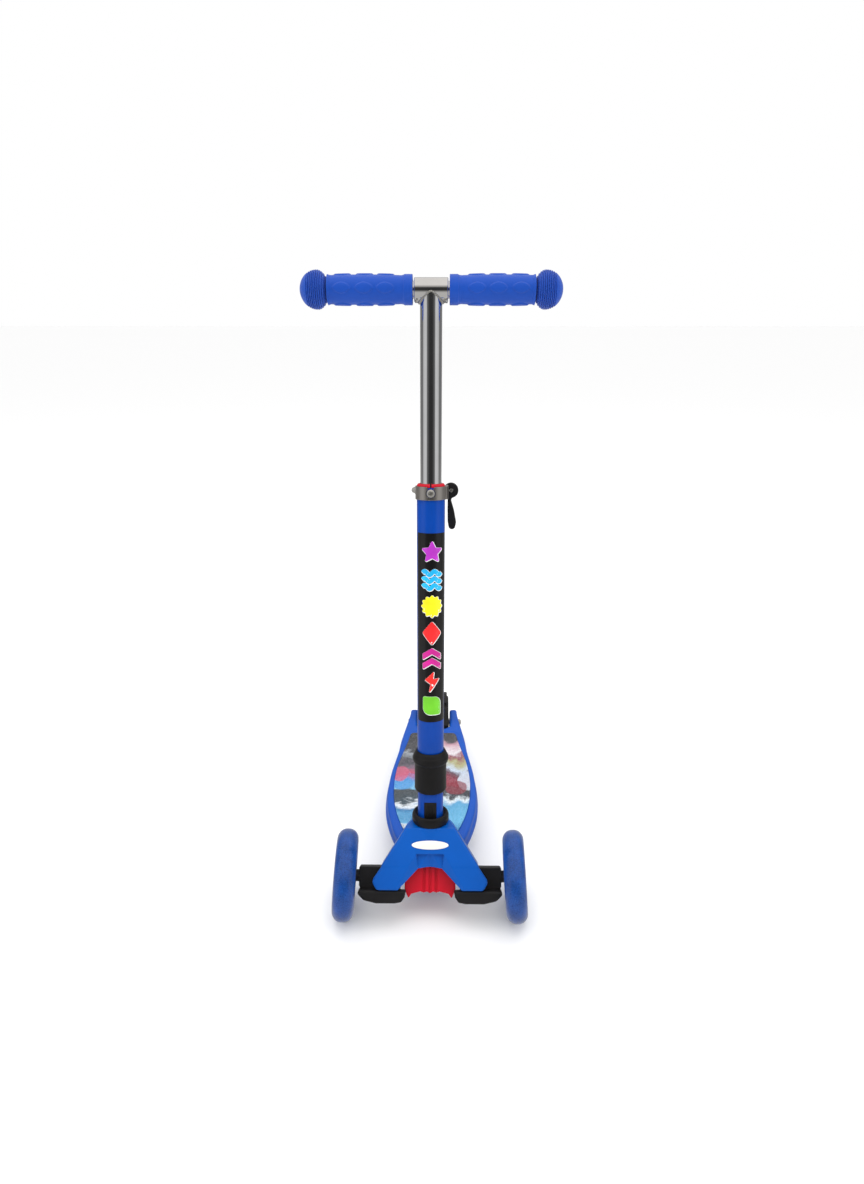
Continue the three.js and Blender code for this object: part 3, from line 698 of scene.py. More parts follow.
def plastic(name, colour, roughness, grain, depth, variation=0.06, **sockets):
    """Moulded plastic or rubber: a fine grain, slightly uneven colour and gloss, and faint scuffs."""
    f = Finish(name, **{"Specular_IOR_Level": 0.25, **sockets})
    spot = f.place()
    cloudy = f.noise(spot, 0.03, 3.0)
    fine = f.noise(spot, grain, 2.0, 0.6)
    tone = f.math("ADD", f.math("MULTIPLY", cloudy, 0.7), f.math("MULTIPLY", fine, 0.3))
    low, high = shade(colour, 1 - variation), shade(colour, 1 + variation)
    f.feed("Base Color", f.ramp(tone, [(0.3, low[:3]), (0.7, high[:3])]))
    scuff = f.noise(f.place(stretch=(0.5, 0.12, 0.4)), 0.6, 4.0, 0.7)
    gloss = f.math("ADD", f.math("MULTIPLY", scuff, 0.16), roughness - 0.08)
    f.feed("Roughness", gloss)
    f.feed("Normal", f.bump(fine, depth))
    return f.material


def metal(name, colour, low, high, stretch, grain, depth, matrix=None):
    """Plated or brushed metal: streaks along the polishing direction in gloss and relief, over a slightly
    cloudy colour.
    """
    f = Finish(name, Metallic=1.0)
    spot = f.place(matrix, stretch)
    streak = f.noise(spot, grain, 3.0, 0.6)
    cloudy = f.noise(f.place(matrix), 0.05, 2.0)
    f.feed("Base Color", f.ramp(cloudy, [(0.3, shade(colour, 0.94)[:3]), (0.7, colour[:3])]))
    share = f.math("MULTIPLY", streak, high - low)
    f.feed("Roughness", f.math("ADD", share, low))
    f.feed("Normal", f.bump(streak, depth))
    return f.material


def painted_tube(colour):
    """Gloss powder coat with a slight orange-peel skin under a clear surface."""
    f = Finish("tube_paint", Roughness=0.3, Specular_IOR_Level=0.2, Coat_Weight=0.15, Coat_Roughness=0.1)
    spot = f.place(STEM)
    tone = f.noise(spot, 0.04, 2.0)
    f.feed("Base Color", f.ramp(tone, [(0.3, shade(colour, 0.95)[:3]), (0.7, shade(colour, 1.05)[:3])]))
    peel = f.noise(spot, 0.45, 2.0, 0.5)
    f.feed("Normal", f.bump(peel, 0.00002))
    return f.material


def cast_tread(colour):
    """Cast clear-blue tread with fine specks in it and a glossy surface."""
    f = Finish(
        "cast_tread",
        Specular_IOR_Level=0.3,
        Coat_Weight=0.5,
        Coat_Roughness=0.1,
        Subsurface_Weight=0.2,
        Subsurface_Scale=0.005,
        Sheen_Weight=0.08,
        Sheen_Roughness=0.4,
    )
    spot = f.place()
    cloud = f.noise(spot, 0.05, 3.0, 0.6)
    specks = f.noise(spot, 0.75, 3.0, 0.75)
    tone = f.math("ADD", f.math("MULTIPLY", cloud, 0.35), f.math("MULTIPLY", specks, 0.65))
    stops = [(0.36, shade(colour, 0.62)[:3]), (0.5, colour[:3]), (0.64, shade(colour, 1.5)[:3])]
    f.feed("Base Color", f.ramp(tone, stops))
    f.feed("Roughness", f.math("ADD", f.math("MULTIPLY", specks, 0.2), 0.2))
    f.feed("Normal", f.bump(cloud, 0.0002))
    return f.material


LEFT_ART = [
    (0.0, (44, 60, 82)), (0.05, (214, 222, 230)), (0.1, (96, 170, 212)), (0.2, (52, 120, 170)),
    (0.25, (226, 232, 238)), (0.28, (58, 74, 84)), (0.37, (62, 66, 70)), (0.4, (120, 182, 220)),
    (0.47, (84, 146, 208)), (0.55, (188, 82, 112)), (0.62, (116, 96, 114)), (0.7, (70, 70, 76)),
    (0.76, (150, 156, 164)), (0.8, (64, 64, 68)), (1.0, (58, 57, 60)),
]
RIGHT_ART = [
    (0.0, (60, 132, 184)), (0.08, (104, 180, 218)), (0.24, (84, 160, 204)), (0.28, (220, 230, 236)),
    (0.31, (58, 62, 70)), (0.4, (62, 60, 66)), (0.43, (170, 62, 82)), (0.51, (128, 52, 70)),
    (0.56, (92, 62, 76)), (0.6, (196, 210, 228)), (0.68, (170, 166, 118)), (0.72, (140, 66, 86)),
    (0.76, (226, 220, 224)), (0.86, (196, 150, 164)), (0.9, (70, 66, 70)), (1.0, (60, 58, 62)),
]
MAT_FRONT, MAT_REAR = 76.0, 350.0


def art(f, spot, wander, stops):
    """Bands of colour along the deck, blown about like wet paint."""
    _, along, _ = f.node("SeparateXYZ", Vector=spot).outputs
    share = f.math("DIVIDE", f.math("SUBTRACT", along, MAT_FRONT), MAT_REAR - MAT_FRONT)
    bent = f.math("ADD", share, f.math("MULTIPLY", f.math("SUBTRACT", wander, 0.5), 0.34))
    return f.ramp(bent, [(at, linear(rgb)) for at, rgb in stops])


# Soft spots of colour on the mat: middle across and along, half sizes across and along, colour.
MAT_SPOTS = [
    (-46.0, 197.0, 17.0, 17.0, (70, 146, 210)), (-51.0, 224.0, 14.0, 22.0, (196, 88, 118)),
    (55.0, 206.0, 17.0, 27.0, (206, 218, 232)), (37.0, 188.0, 18.0, 19.0, (132, 40, 56)),
]


def spotted(f, spot, wander, under):
    """Soft-edged spots of colour, pulled about by the same noise as the bands."""
    x, y, _ = f.node("SeparateXYZ", Vector=spot).outputs
    for across, along, wide, long, rgb in MAT_SPOTS:
        u = f.math("DIVIDE", f.math("SUBTRACT", x, across), wide)
        v = f.math("DIVIDE", f.math("SUBTRACT", y, along), long)
        far = f.math("ADD", f.math("MULTIPLY", u, u), f.math("MULTIPLY", v, v))
        far = f.math("ADD", far, f.math("MULTIPLY", f.math("SUBTRACT", wander, 0.5), 1.6))
        inside = f.math("MULTIPLY", f.math("SUBTRACT", 1.0, far), 5.0, clamp=True)
        under = f.mix(f.math("MULTIPLY", inside, 0.8), under, linear(rgb) + [1.0])
    return under


def printed_mat():
    """Gritty anti-slip sheet with a printed paint-wash pattern."""
    f = Finish("printed_mat", Specular_IOR_Level=0.3)
    spot = f.place(DECK)
    wander = f.noise(f.place(DECK, (1, 1.6, 1)), 0.022, 5.0, 0.6)
    other = f.noise(f.place(DECK, (1.8, 1, 1)), 0.017, 5.0, 0.62)
    left = art(f, spot, wander, LEFT_ART)
    right = art(f, spot, other, RIGHT_ART)
    across = f.node("SeparateXYZ", Vector=spot).outputs[0]
    edge = f.math("ADD", across, f.math("MULTIPLY", f.math("SUBTRACT", wander, 0.5), 60))
    print_colour = f.mix(f.math("MULTIPLY", f.math("ADD", edge, 4), 0.12, clamp=True), left, right)
    print_colour = spotted(f, spot, other, print_colour)
    grit = f.noise(spot, 0.9, 2.0, 0.8)
    strength = f.math("MULTIPLY", f.math("GREATER_THAN", grit, 0.56), 0.22)
    speckled = f.mix(strength, print_colour, linear((214, 216, 220)) + [1.0])
    dark = f.math("MULTIPLY", f.math("LESS_THAN", grit, 0.43), 0.45)
    f.feed("Base Color", f.mix(dark, speckled, linear((30, 32, 38)) + [1.0]))
    f.feed("Roughness", f.math("ADD", f.math("MULTIPLY", grit, 0.3), 0.5))
    f.feed("Normal", f.bump(grit, 0.00025))
    return f.material


_made = {}


def finish(name):
    """A finish by name, made when it is first asked for."""
    if name not in _made:
        c = bpy.context.scene.scooter_colours
        makers = {
            "chrome": lambda: metal(
                "chrome_plate", (0.84, 0.84, 0.85), 0.03, 0.09, (1, 1, 0.05), 1.2, 0.000004, STEM
            ),
            "brushed": lambda: metal(
                "brushed_band", (0.5, 0.47, 0.44), 0.26, 0.42, (2.5, 2.5, 0.06), 1.6, 0.00003, STEM
            ),
            "zinc": lambda: metal(
                "zinc_plate", (0.62, 0.61, 0.58), 0.2, 0.4, (1, 1, 1), 0.7, 0.00002
            ),
            "alloy": lambda: metal(
                "die_cast", (0.55, 0.55, 0.56), 0.38, 0.6, (1, 1, 1), 1.4, 0.00008
            ),
            "tube": lambda: painted_tube(c.tube),
            "shell": lambda: plastic("deck_plastic", c.deck, 0.42, 1.5, 0.00002),
            "hood": lambda: plastic("hood_plastic", c.hood, 0.34, 1.5, 0.00002),
            "grip": lambda: plastic(
                "grip_rubber", c.grip, 0.5, 2.0, 0.00003, Sheen_Weight=0.15, Sheen_Roughness=0.5
            ),
            "black": lambda: plastic("black_plastic", c.black, 0.46, 1.2, 0.00006, 0.2),
            "sleeve": lambda: plastic("black_rubber", shade(c.black, 0.7), 0.42, 0.9, 0.00004, 0.2),
            "red": lambda: plastic("red_plastic", c.red, 0.36, 1.4, 0.00002),
            "tread": lambda: cast_tread(c.tread),
            "core": lambda: plastic("core_plastic", linear((226, 228, 230)), 0.36, 1.2, 0.00002, 0.03),
            "mat": printed_mat,
            "badge": lambda: plastic(
                "badge_face", linear((242, 238, 230)), 0.16, 1.0, 0.000004, 0.02, Coat_Weight=0.6
            ),
            "decal_black": lambda: plastic(
                "decal_ground", linear((20, 19, 20)), 0.3, 1.0, 0.000004, 0.1, Coat_Weight=0.3
            ),
        }
        _made[name] = makers[name]()
    return _made[name]


def ink(name, rgb, lighter=1.35):
    """A printed colour whose tone varies slightly at random, in patches up to somewhat lighter."""
    if name not in _made:
        f = Finish(name, Roughness=0.28, Coat_Weight=0.3, Coat_Roughness=0.15)
        spot = f.place(STEM)
        tone = f.noise(spot, 0.05, 1.0)
        colour = linear(rgb)
        f.feed("Base Color", f.ramp(tone, [(0.35, colour), (0.75, shade(colour, lighter)[:3])]))
        _made[name] = f.material
    return _made[name]


# ---------- Handlebar ----------

SLEEVE_R, TUBE_R, TUBE_WALL = 13.2, 12.7, 2.2
KEYWAY = {"half": 2.0, "depth": 1.4, "top": 550.0}


def slide_tube():
    """The telescopic tube: a key groove down its front, and its top shaped to the crossways sleeve."""
    groove = math.degrees(math.asin(KEYWAY["half"] / TUBE_R))
    spread = [groove + (360 - 2 * groove) * i / 90 for i in range(1, 90)]
    floor = TUBE_R - KEYWAY["depth"]
    saddle = SLEEVE_R + 0.1

    def row(t, grooved):
        if grooved:
            middle = [(-groove, floor), (0, floor), (groove, floor)]
        else:
            middle = [(-groove / 2, TUBE_R), (0, TUBE_R), (groove / 2, TUBE_R)]
        return [(a, r, t) for a, r in [(-groove, TUBE_R), *middle, (groove, TUBE_R)]] + [
            (a, TUBE_R, t) for a in spread
        ]

    rows = [row(255, True), row(KEYWAY["top"], True), row(KEYWAY["top"], False)]
    rows += [row(t, False) for t in (580, 620, 636)]
    rows.append([(a, r, None) for a, r, _ in row(0, False)])
    inner = TUBE_R - TUBE_WALL
    rows.append([(a, inner, None) for a, _, _ in row(0, False)])
    rows.append([(a, inner, 255) for a, _, _ in row(0, False)])
    points = []
    for line in rows:
        for angle, r, t in line:
            x, y = r * math.sin(math.radians(angle)), -r * math.cos(math.radians(angle))
            if t is None:
                t = BAR_T - math.sqrt(saddle**2 - y * y)
            points.append((x, y, t))
    return merged(points, grid_faces(len(rows), len(rows[0]), wrap_rows=True))


def weld_bead(radius):
    """A rippled bead round the joint of tube and sleeve, heavier at its two sides."""
    chance = np.random.default_rng(11)
    count = 260
    bumps = np.convolve(chance.random(count + 8), np.ones(9) / 9, "valid")
    path, radii = [], []
    for i in range(count):
        t = 2 * math.pi * i / count
        x, y = (TUBE_R + 0.5) * math.sin(t), -(TUBE_R + 0.5) * math.cos(t)
        height = BAR_T - math.sqrt(max((SLEEVE_R + 0.4) ** 2 - y * y, 0))
        path.append((x, y, height))
        ripple = 0.18 * math.sin(38 * t) + 0.9 * (bumps[i] - 0.5)
        radii.append(radius * (0.75 + 0.75 * math.sin(t) ** 8 + ripple))
    return sweep(path, np.maximum(radii, 0.5), sides=12, closed=True)


def spatter():
    """Small drops of weld metal on the underside of the sleeve, each side of the tube."""
    chance = np.random.default_rng(5)
    drops = []
    for side in (-1, 1):
        for _ in range(16):
            x = side * (14.2 + 4.2 * chance.random())
            angle = math.radians(-90 + 100 * (chance.random() - 0.5))
            r = 0.5 + 0.8 * chance.random()
            y, z = -SLEEVE_R * math.cos(angle) * 0.6, SLEEVE_R * math.sin(angle)
            scale = SLEEVE_R / math.hypot(y, z)
            ball = lathe([(r * math.sin(a), r * math.cos(a)) for a in np.linspace(0, math.pi, 7)], 10)
            drops.append(placed(ball, moved(x, y * scale, BAR_T + z * scale)))
    return together(*drops)


def grip_shell(side, sizes):
    """Collar, body with raised oval pads, neck and ribbed ball, turned about the bar."""
    segments = 168
    bore = 9.8
    line = eased(
        [(bore, 21.0), (16.65, 21.0, 0.7), (16.65, 30.3, 0.5), (15.95, 30.9, 0.4), (15.35, 33.5, 2),
         (15.4, 114.0, 1.0), (16.6, 117.4)],
        closed=False, steps=3,
    )
    dense = [line[0]]
    for a, b in zip(line, line[1:]):
        pieces = max(1, int(math.hypot(b[0] - a[0], b[1] - a[1]) / 0.9))
        if abs(b[0] - a[0]) > 4:
            pieces = 1
        dense += [(a[0] + (b[0] - a[0]) * k / pieces, a[1] + (b[1] - a[1]) * k / pieces)
                  for k in range(1, pieces + 1)]
    centre, ball = 129.5, 21.5
    first = math.acos(-11.6 / 13.4)
    for k in range(1, 121):
        angle = first * (1 - k / 120)
        reach = 19.8 if angle < math.pi / 2 else 13.4
        r, x = ball * math.sin(angle), centre + reach * math.cos(angle)
        if 118.4 < x < 141.5:
            wave = math.cos(2 * math.pi * (x - 118.4) / (23.1 / sizes.ball_ribs))
            r -= sizes.rib_depth / MM * ((1 + wave) / 2) ** 1.5 * min(1, (141.5 - x) / 3)
        dense.append((max(r, 0), x))
    dense[-1] = (0, GRIP_OUT)
    dense += [(0, 142.5), (bore, 142.5)]
    pads = (51.4, 75.3, 100.7)
    points = []
    for r, x in dense:
        for i in range(segments):
            t = 2 * math.pi * i / segments
            out = r
            if 36 < x < 114 and r > 12:
                turn = (t + math.pi / 4) % (math.pi / 2) - math.pi / 4
                across = abs(turn) * 16
                for pad in pads:
                    q = (abs(x - pad) / 10.6) ** 1.7 + (across / 6.4) ** 1.7
                    if q < 1:
                        rise = min(1, (1 - q) / 0.3)
                        out += sizes.pad_height / MM * (rise * rise * (3 - 2 * rise) + 0.1 * (1 - q))
                out += 0.75 * math.exp(-(((x - 76) / 34) ** 4))
            points.append((out * math.sin(t), -out * math.cos(t), side * x))
    return merged(points, grid_faces(len(dense), segments, wrap_rows=True))


class SCOOTER_OT_handlebar(bpy.types.Operator):
    """Make the T-bar: sliding tube, sleeve, crossbar, weld and grips"""

    bl_idname = "scooter.handlebar"
    bl_label = "Handlebar"

    def execute(self, context):
        sizes = context.scene.scooter_sizes
        chrome = finish("chrome")
        body = "handlebar"
        bar = ring(8, 9.5, -GRIP_OUT + 8, GRIP_OUT - 8)
        piece("crossbar_plated", bar, BAR, body, chrome, ["crossbar"])
        sleeve = ring(9.8, SLEEVE_R, -19.3, 19.3, 0.9)
        piece("tee_sleeve_plated", sleeve, BAR, body, chrome, ["tee_sleeve"])
        piece("slide_tube", slide_tube(), STEM, body, chrome, ["inner_tube"])
        bead = weld_bead(sizes.weld_radius / MM)
        piece("weld_bead", bead, STEM, body, finish("zinc"), crease=60)
        piece("weld_drops", spatter(), STEM, body, finish("zinc"), crease=60)
        plug = eased(
            [(0, 243), (15.2, 243, 1), (15.2, 254.5, 0.5), (10, 254.5), (10, 275, 1), (0, 275)],
            closed=False,
        )
        piece("tube_plug", lathe(plug), STEM, body, finish("black"), ["tube_end_plug"])
        for name, side in SIDES:
            shell = grip_shell(side, sizes)
            piece(f"grip_{name}_moulded", shell, BAR, body, finish("grip"), [f"grip_{name}"],
                  crease=50)
        return {"FINISHED"}


# ---------- Mast, decal and clamp ----------

OUTER_R = 17.0
DECAL_LOW, DECAL_HIGH = 137.7, 379.1


def split(outline, longest):
    """An outline with extra points, so that no edge is longer than asked."""
    out = []
    for (ax, ay), (bx, by) in zip(outline, [*outline[1:], outline[0]]):
        count = max(1, math.ceil(math.hypot(bx - ax, by - ay) / longest))
        out += [(ax + (bx - ax) * k / count, ay + (by - ay) * k / count) for k in range(count)]
    return out


def wrapped(outline, inner, outer, turn=0.0, spacing=1.5):
    """A flat outline of (distance round, height) bent round the tube as a thin closed sheet."""
    outline = split(outline, spacing)
    low, high = min(p[0] for p in outline), max(p[0] for p in outline)
    corners = [Vector(p) for p in outline]
    count = len(outline)
    edges = [(i, (i + 1) % count) for i in range(count)]
    heights = [p[1] for p in outline]
    for k in range(1, int((high - low) / spacing) + 1):
        a = low + k * spacing
        for j in range(int((max(heights) - min(heights)) / 6) + 2):
            spot = (a, min(heights) + 6 * j + 0.013 * k)
            if polygon_field(np.array(spot[0]), np.array(spot[1]), outline) < -0.4:
                corners.append(Vector(spot))
    points, _, faces, *_ = delaunay_2d_cdt(corners, edges, [list(range(count))], 1, 1e-4)
    flat = [(p[0], p[1]) for p in points]
    shells = []
    for r in (outer, inner):
        shells += [
            (r * math.sin(a / OUTER_R + turn), -r * math.cos(a / OUTER_R + turn), t) for a, t in flat
        ]
    n = len(flat)
    made = [list(f) for f in faces] + [[v + n for v in reversed(f)] for f in faces]
    sides = [pair for f in faces for pair in zip(f, [*f[1:], f[0]])]
    shared = set(sides)
    for a, b in sides:
        if (b, a) not in shared:
            made.append([b, a, a + n, b + n])
    return np.array(shells), made


def ribbon(points, width):
    """An outline of even width that follows a line."""
    line = np.array(points, float)
    along = np.gradient(line, axis=0)
    along /= np.linalg.norm(along, axis=1, keepdims=True)
    side = np.stack([-along[:, 1], along[:, 0]], 1) * width / 2
    return [tuple(p) for p in line + side] + [tuple(p) for p in (line - side)[::-1]]


def spiked(points, outer, inner, turn=0.0):
    """A star or a wavy disc: corners that lie in turn on two circles."""
    out = []
    for k in range(2 * points):
        r, t = (inner if k % 2 else outer), turn + math.pi * k / points
        out.append((r * math.sin(t), r * math.cos(t), 1.2))
    return eased(out, steps=3)


def decal_shapes():
    """Plain shapes down the tube: (name, colour, middle height, outlines)."""
    chevron = eased([(-12, 1, 1), (0, 9, 1.5), (12, 1, 1), (12, -7, 1), (0, 1, 1.5), (-12, -7, 1)])
    ripple = ribbon([(x, 2.2 * math.sin(x * math.pi / 6)) for x in np.linspace(-12, 12, 33)], 5.4)
    diamond = eased([(0, -15.5, 2), (12.5, 0, 3), (0, 15.5, 2), (-12.5, 0, 3)])
    leaf = eased([(-11.5, -12, 9), (11.5, -12, 2), (11.5, 12, 9), (-11.5, 12, 2)], steps=8)
    bolt = eased([(-9, 3, 0.8), (3, 15, 0.8), (1.5, 4.6, 0.8), (10, 5, 0.8), (-4, -15, 0.8),
                  (-1.6, -2, 0.8)])
    return [
        ("ink_purple", (176, 48, 186), 356, [spiked(5, 15, 7.2)]),
        ("ink_cyan", (20, 170, 226), 322, [[(x, z + d) for x, z in ripple] for d in (-8.6, 0, 8.6)]),
        ("ink_yellow", (250, 228, 10), 289, [spiked(12, 14.6, 11.4)]),
        ("ink_red", (236, 34, 36), 255, [diamond]),
        ("ink_magenta", (198, 26, 140), 222, [[(x, z + d) for x, z in chevron] for d in (-7.5, 5)]),
        ("ink_scarlet", (236, 40, 34), 191, [bolt]),
        ("ink_green", (112, 204, 38), 160, [leaf]),
    ]


def grown_out(outline, reach):
    """An outline moved out by a small distance."""
    line = np.array(outline, float)
    ahead = np.roll(line, -1, 0) - np.roll(line, 1, 0)
    area = np.sum(line[:, 0] * np.roll(line[:, 1], -1) - np.roll(line[:, 0], -1) * line[:, 1])
    out = np.stack([ahead[:, 1], -ahead[:, 0]], 1) * np.sign(area)
    out /= np.maximum(np.linalg.norm(out, axis=1, keepdims=True), 1e-9)
    return [tuple(p) for p in line + out * reach]


LEVER_X = 24.4  # the cam lever's pin, to the right of the mast
SCREW_T = 426.6  # the cross-head screw


def clamp_band():
    """The bent steel band: open at the back between two ears, notched at the front, with a side strap."""

    def field(x, y, z):
        flat = np.abs(np.hypot(x, y) - 18.0) - 0.7
        band = slab_field(flat, z, 418.5, 434.2, 0.3)
        band = without(band, box_field(x, y, z, (-10.9, 10, 410), (10.9, 40, 440)))
        for side in (-1, 1):
            ear = box_field(side * x, y, z, (11, 12.4, 418.5), (12.5, 28, 434.2), 0.35)
            band = joined(band, ear, 1.0)
        band = joined(band, box_field(x, y, z, (18.2, -4, 418.5), (20.9, 12, 434.2), 0.5), 1.2)
        v = [(-1, 427.4), (1, 427.4), (5.4, 436), (-5.4, 436)]
        band = without(band, slab_field(polygon_field(x, z, v), y, -25, -10), 0.6)
        band = without(band, rod_field(y - 22, z - CLAMP_T, x, 2.8, -20, 20))
        return without(band, rod_field(x, z - SCREW_T, y, 5.5, -25, -10), 0.4)

    return skin(field, (-20.5, -20.5, 416.5), (22.5, 30, 436.5), 0.42)


def screw_head():
    """A cross-head screw whose head stands out of the band's notch, with its stem behind."""

    def field(x, y, z):
        dome = np.sqrt(x * x + z * z + (y + 12.9) ** 2) - 7.9
        head = common(dome, rod_field(x, z, y, 5.0, -21, -17.3, 0.4), 0.6)
        for angle in (20, 110):
            c, s = math.cos(math.radians(angle)), math.sin(math.radians(angle))
            along, across = x * c + z * s, -x * s + z * c
            wide = 0.55 + 0.12 * (-17.5 - y)
            slot = np.maximum(np.abs(across) - wide, np.abs(along) - 2.7 + 0.4 * (y + 20.6))
            head = without(head, np.maximum(slot, y + 18.9), 0.3)
        return joined(head, rod_field(x, z, y, 2.0, -18, -11.7, 0.3))

    return skin(field, (-6, -22, -6), (6, -11, 6), 0.24)


def lever_shell():
    """The cam lever: a forked disc with a blade that hangs from it and thickens to its tip."""
    blade = eased(
        [(20.5, 424), (20.2, 405, 10), (20.4, 389, 6), (22.2, 379, 5), (29.2, 379, 5), (31, 388, 6),
         (28.4, 402, 12), (24.6, 415, 6), (26.6, 424)]
    )

    def field(x, y, z):
        disc = slab_field(np.hypot(x - LEVER_X, z - CLAMP_T) - 9, y, 16, 28, 1.2)
        body = joined(disc, slab_field(polygon_field(x, z, blade), y, 17.2, 26.8, 1.8), 2.0)
        body = without(body, box_field(x, y, z, (10, 19.2, 422), (29.6, 24.8, 440)), 0.3)
        body = without(body, box_field(x, y, z, (10, 19.2, 424.2), (36, 24.8, 440)), 0.3)
        return without(body, rod_field(x - LEVER_X, z - CLAMP_T, y, 2.5, 0, 40), 0.2)

    return skin(field, (14, 14, 376), (34.5, 30, 437.5), 0.45)


class SCOOTER_OT_mast(bpy.types.Operator):
    """Make the outer tube with its slit, its printed band and the red bushing"""

    bl_idname = "scooter.mast"
    bl_label = "Mast"

    def execute(self, context):
        body = "mast"
        tube = ring(OUTER_R - 1.5, OUTER_R, 68.6, 433, 0.4, segments=96)
        slit = box_shell((-1.5, 10, 396), (1.5, 20, 440))
        screw_hole = placed(lathe([(0, -20), (2.3, -20), (2.3, 0), (0, 0)], 24),
                            moved(0, 0, SCREW_T) @ ALONG_Y)
        made = carved("outer_tube_painted", tube, [slit, screw_hole], STEM)
        finished(made, body, finish("tube"), ["outer_tube"], 32)
        self.decal(body)
        sleeve = eased([(13, 398), (15.2, 398, 0.3), (15.2, 433.2), (17, 433.2, 0.3), (17, 435.2, 0.5),
                        (15.4, 437.2, 0.8), (13, 437.2, 0.3)])
        bushing = lathe(sleeve, 90, closed=True, arc=(3.4, 356.6))
        piece("bushing_moulded", bushing, STEM, body, finish("red"), ["height_bushing"])
        refined("fold_head", body, finish("alloy"))
        return {"FINISHED"}

    def decal(self, body):
        """A dark printed band down the front of the tube with plain coloured shapes on it."""
        reach, turn = 21.5, 0.1
        band = eased([(-reach, DECAL_LOW, 1.2), (reach, DECAL_LOW, 1.2),
                      (reach, DECAL_HIGH, 1.2), (-reach, DECAL_HIGH, 1.2)])
        shell = wrapped(band, OUTER_R + 0.02, OUTER_R + 0.14, turn)
        piece("decal_band", shell, STEM, body, finish("decal_black"))
        outlines, fills = [], {}
        for name, rgb, middle, shapes in decal_shapes():
            for shape in shapes:
                shape = [(x, z + middle) for x, z in shape]
                outlines.append(wrapped(grown_out([(x + 0.35, z - 0.35) for x, z in shape], 0.55),
                                        OUTER_R + 0.12, OUTER_R + 0.2, turn))
                fills.setdefault((name, rgb), []).append(
                    wrapped(shape, OUTER_R + 0.18, OUTER_R + 0.28, turn)
                )
        white = ink("ink_white", (236, 238, 236), 1.05)
        piece("decal_outlines", together(*outlines), STEM, body, white)
        for (name, rgb), shells in fills.items():
            piece("decal_" + name, together(*shells), STEM, body, ink(name, rgb))


class SCOOTER_OT_clamp(bpy.types.Operator):
    """Make the height clamp: band, bolt, nut, saddle, cam lever and cross-head screw"""

    bl_idname = "scooter.clamp"
    bl_label = "Height clamp"

    def execute(self, context):
        body, zinc = "mast", finish("zinc")
        piece("clamp_band", clamp_band(), STEM, body, finish("brushed"), ["clamp_collar"])
        screw = screw_head()
        piece("key_screw_turned", screw, STEM @ moved(0, 0, SCREW_T), body, zinc, ["key_screw"])
        for node in ("clamp_bolt", "clamp_nut", "clamp_saddle"):
            refined(node, body, zinc, 0.3)
        pin = eased([(0, 15.6), (2.2, 15.6, 0.5), (2.2, 28.4, 0.5), (0, 28.4)], closed=False)
        at = STEM @ moved(LEVER_X, 0, CLAMP_T) @ ALONG_Y
        piece("lever_pin_turned", lathe(pin, 32), at, body, zinc, ["lever_pin"])
        shell = lever_shell()
        piece("cam_lever", shell, STEM, "clamp_lever", finish("black"), ["clamp_lever"])
        return {"FINISHED"}


# ---------- Folding joint, stub and collar ----------


class SCOOTER_OT_foot(bpy.types.Operator):
    """Make the foot of the mast: locking sleeve, knuckle, stub, push-button and collar"""

    bl_idname = "scooter.foot"
    bl_label = "Folding foot"

    def execute(self, context):
        profile = eased(
            [(18.6, 38, 0.3), (19.6, 38, 1.2), (20.9, 40.6, 2), (20.7, 58), (20.6, 76.6, 0.4),
             (21.9, 77.2, 0.6), (23.2, 80.2, 3), (23.3, 84, 3), (22.1, 87.2, 2), (21.6, 87.6, 0.3),
             (20.2, 91, 3), (18.7, 93.5, 0.6), (17.4, 93.5, 0.3), (17.4, 89), (18.6, 87)]
        )
        shell = lathe(profile, 96, closed=True)
        piece("lock_sleeve_moulded", shell, STEM, "lock_sleeve", finish("sleeve"), ["lock_sleeve"])
        body, zinc = "chassis", finish("zinc")
        refined("fold_base", body, finish("alloy"))
        pin = eased([(0, -10.5), (2.6, -10.5, 0.4), (2.6, 10.5, 0.4), (0, 10.5)], closed=False)
        at = STEM @ moved(0, 12, 54) @ ALONG_X
        piece("fold_pin_turned", lathe(pin, 32), at, body, zinc, ["fold_pin"])

        tube = ring(13.5, 16.7, -44, 40, 0.4, segments=96)
        flat = box_shell((-12, -22, 6), (12, -14.4, 60))
        window = box_shell((-8.2, -22, -3), (8.2, -8, 24.8))
        made = carved("stub_painted", tube, [flat, window], STEM, 0.25)
        finished(made, body, finish("tube"), ["stub_tube"], 32)

        face = eased([(-7.9, -2.7, 1), (7.9, -2.7, 1), (7.9, 24.5, 1.4), (-7.9, 24.5, 1.4)])
        button = plate(face, 9.6, 14.4, 0.5, place=turned("X", 90))
        piece("button_moulded", button, STEM, "release_button", finish("black"), ["release_button"])
        rib = plate(eased([(-0.6, 5, 0.3), (0.6, 5, 0.3), (0.6, 21, 0.3), (-0.6, 21, 0.3)]),
                    14.3, 14.95, 0.3, place=turned("X", 90))
        count = context.scene.scooter_sizes.button_ribs
        ribs("button_ribs", rib, count, (-1.9 * (count - 1) / 2, 0, 0), (1.9, 0, 0), STEM,
             "release_button", finish("black"))
        back = STEM @ moved(0, -8.5, 11) @ ALONG_Y
        coil = spring("button_spring_wire", 6, 4, 19.8, 0.8, back, body, ["button_spring"])
        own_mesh(coil)

        collar = eased(
            [(17.1, -8, 0.4), (23.4, -8, 1), (24.3, -5, 2), (24.3, 0.8, 2), (23.2, 4.2, 1.2),
             (21.2, 5.4, 0.9), (19.4, 3.6, 1.5), (18.4, 2.4, 0.8), (17.1, 2.2, 0.3)]
        )
        shell = lathe(collar, 96, closed=True)
        piece("collar_moulded", shell, STEM, body, finish("sleeve"), ["base_collar"])
        return {"FINISHED"}


# ---------- Hood, badge and bumper ----------

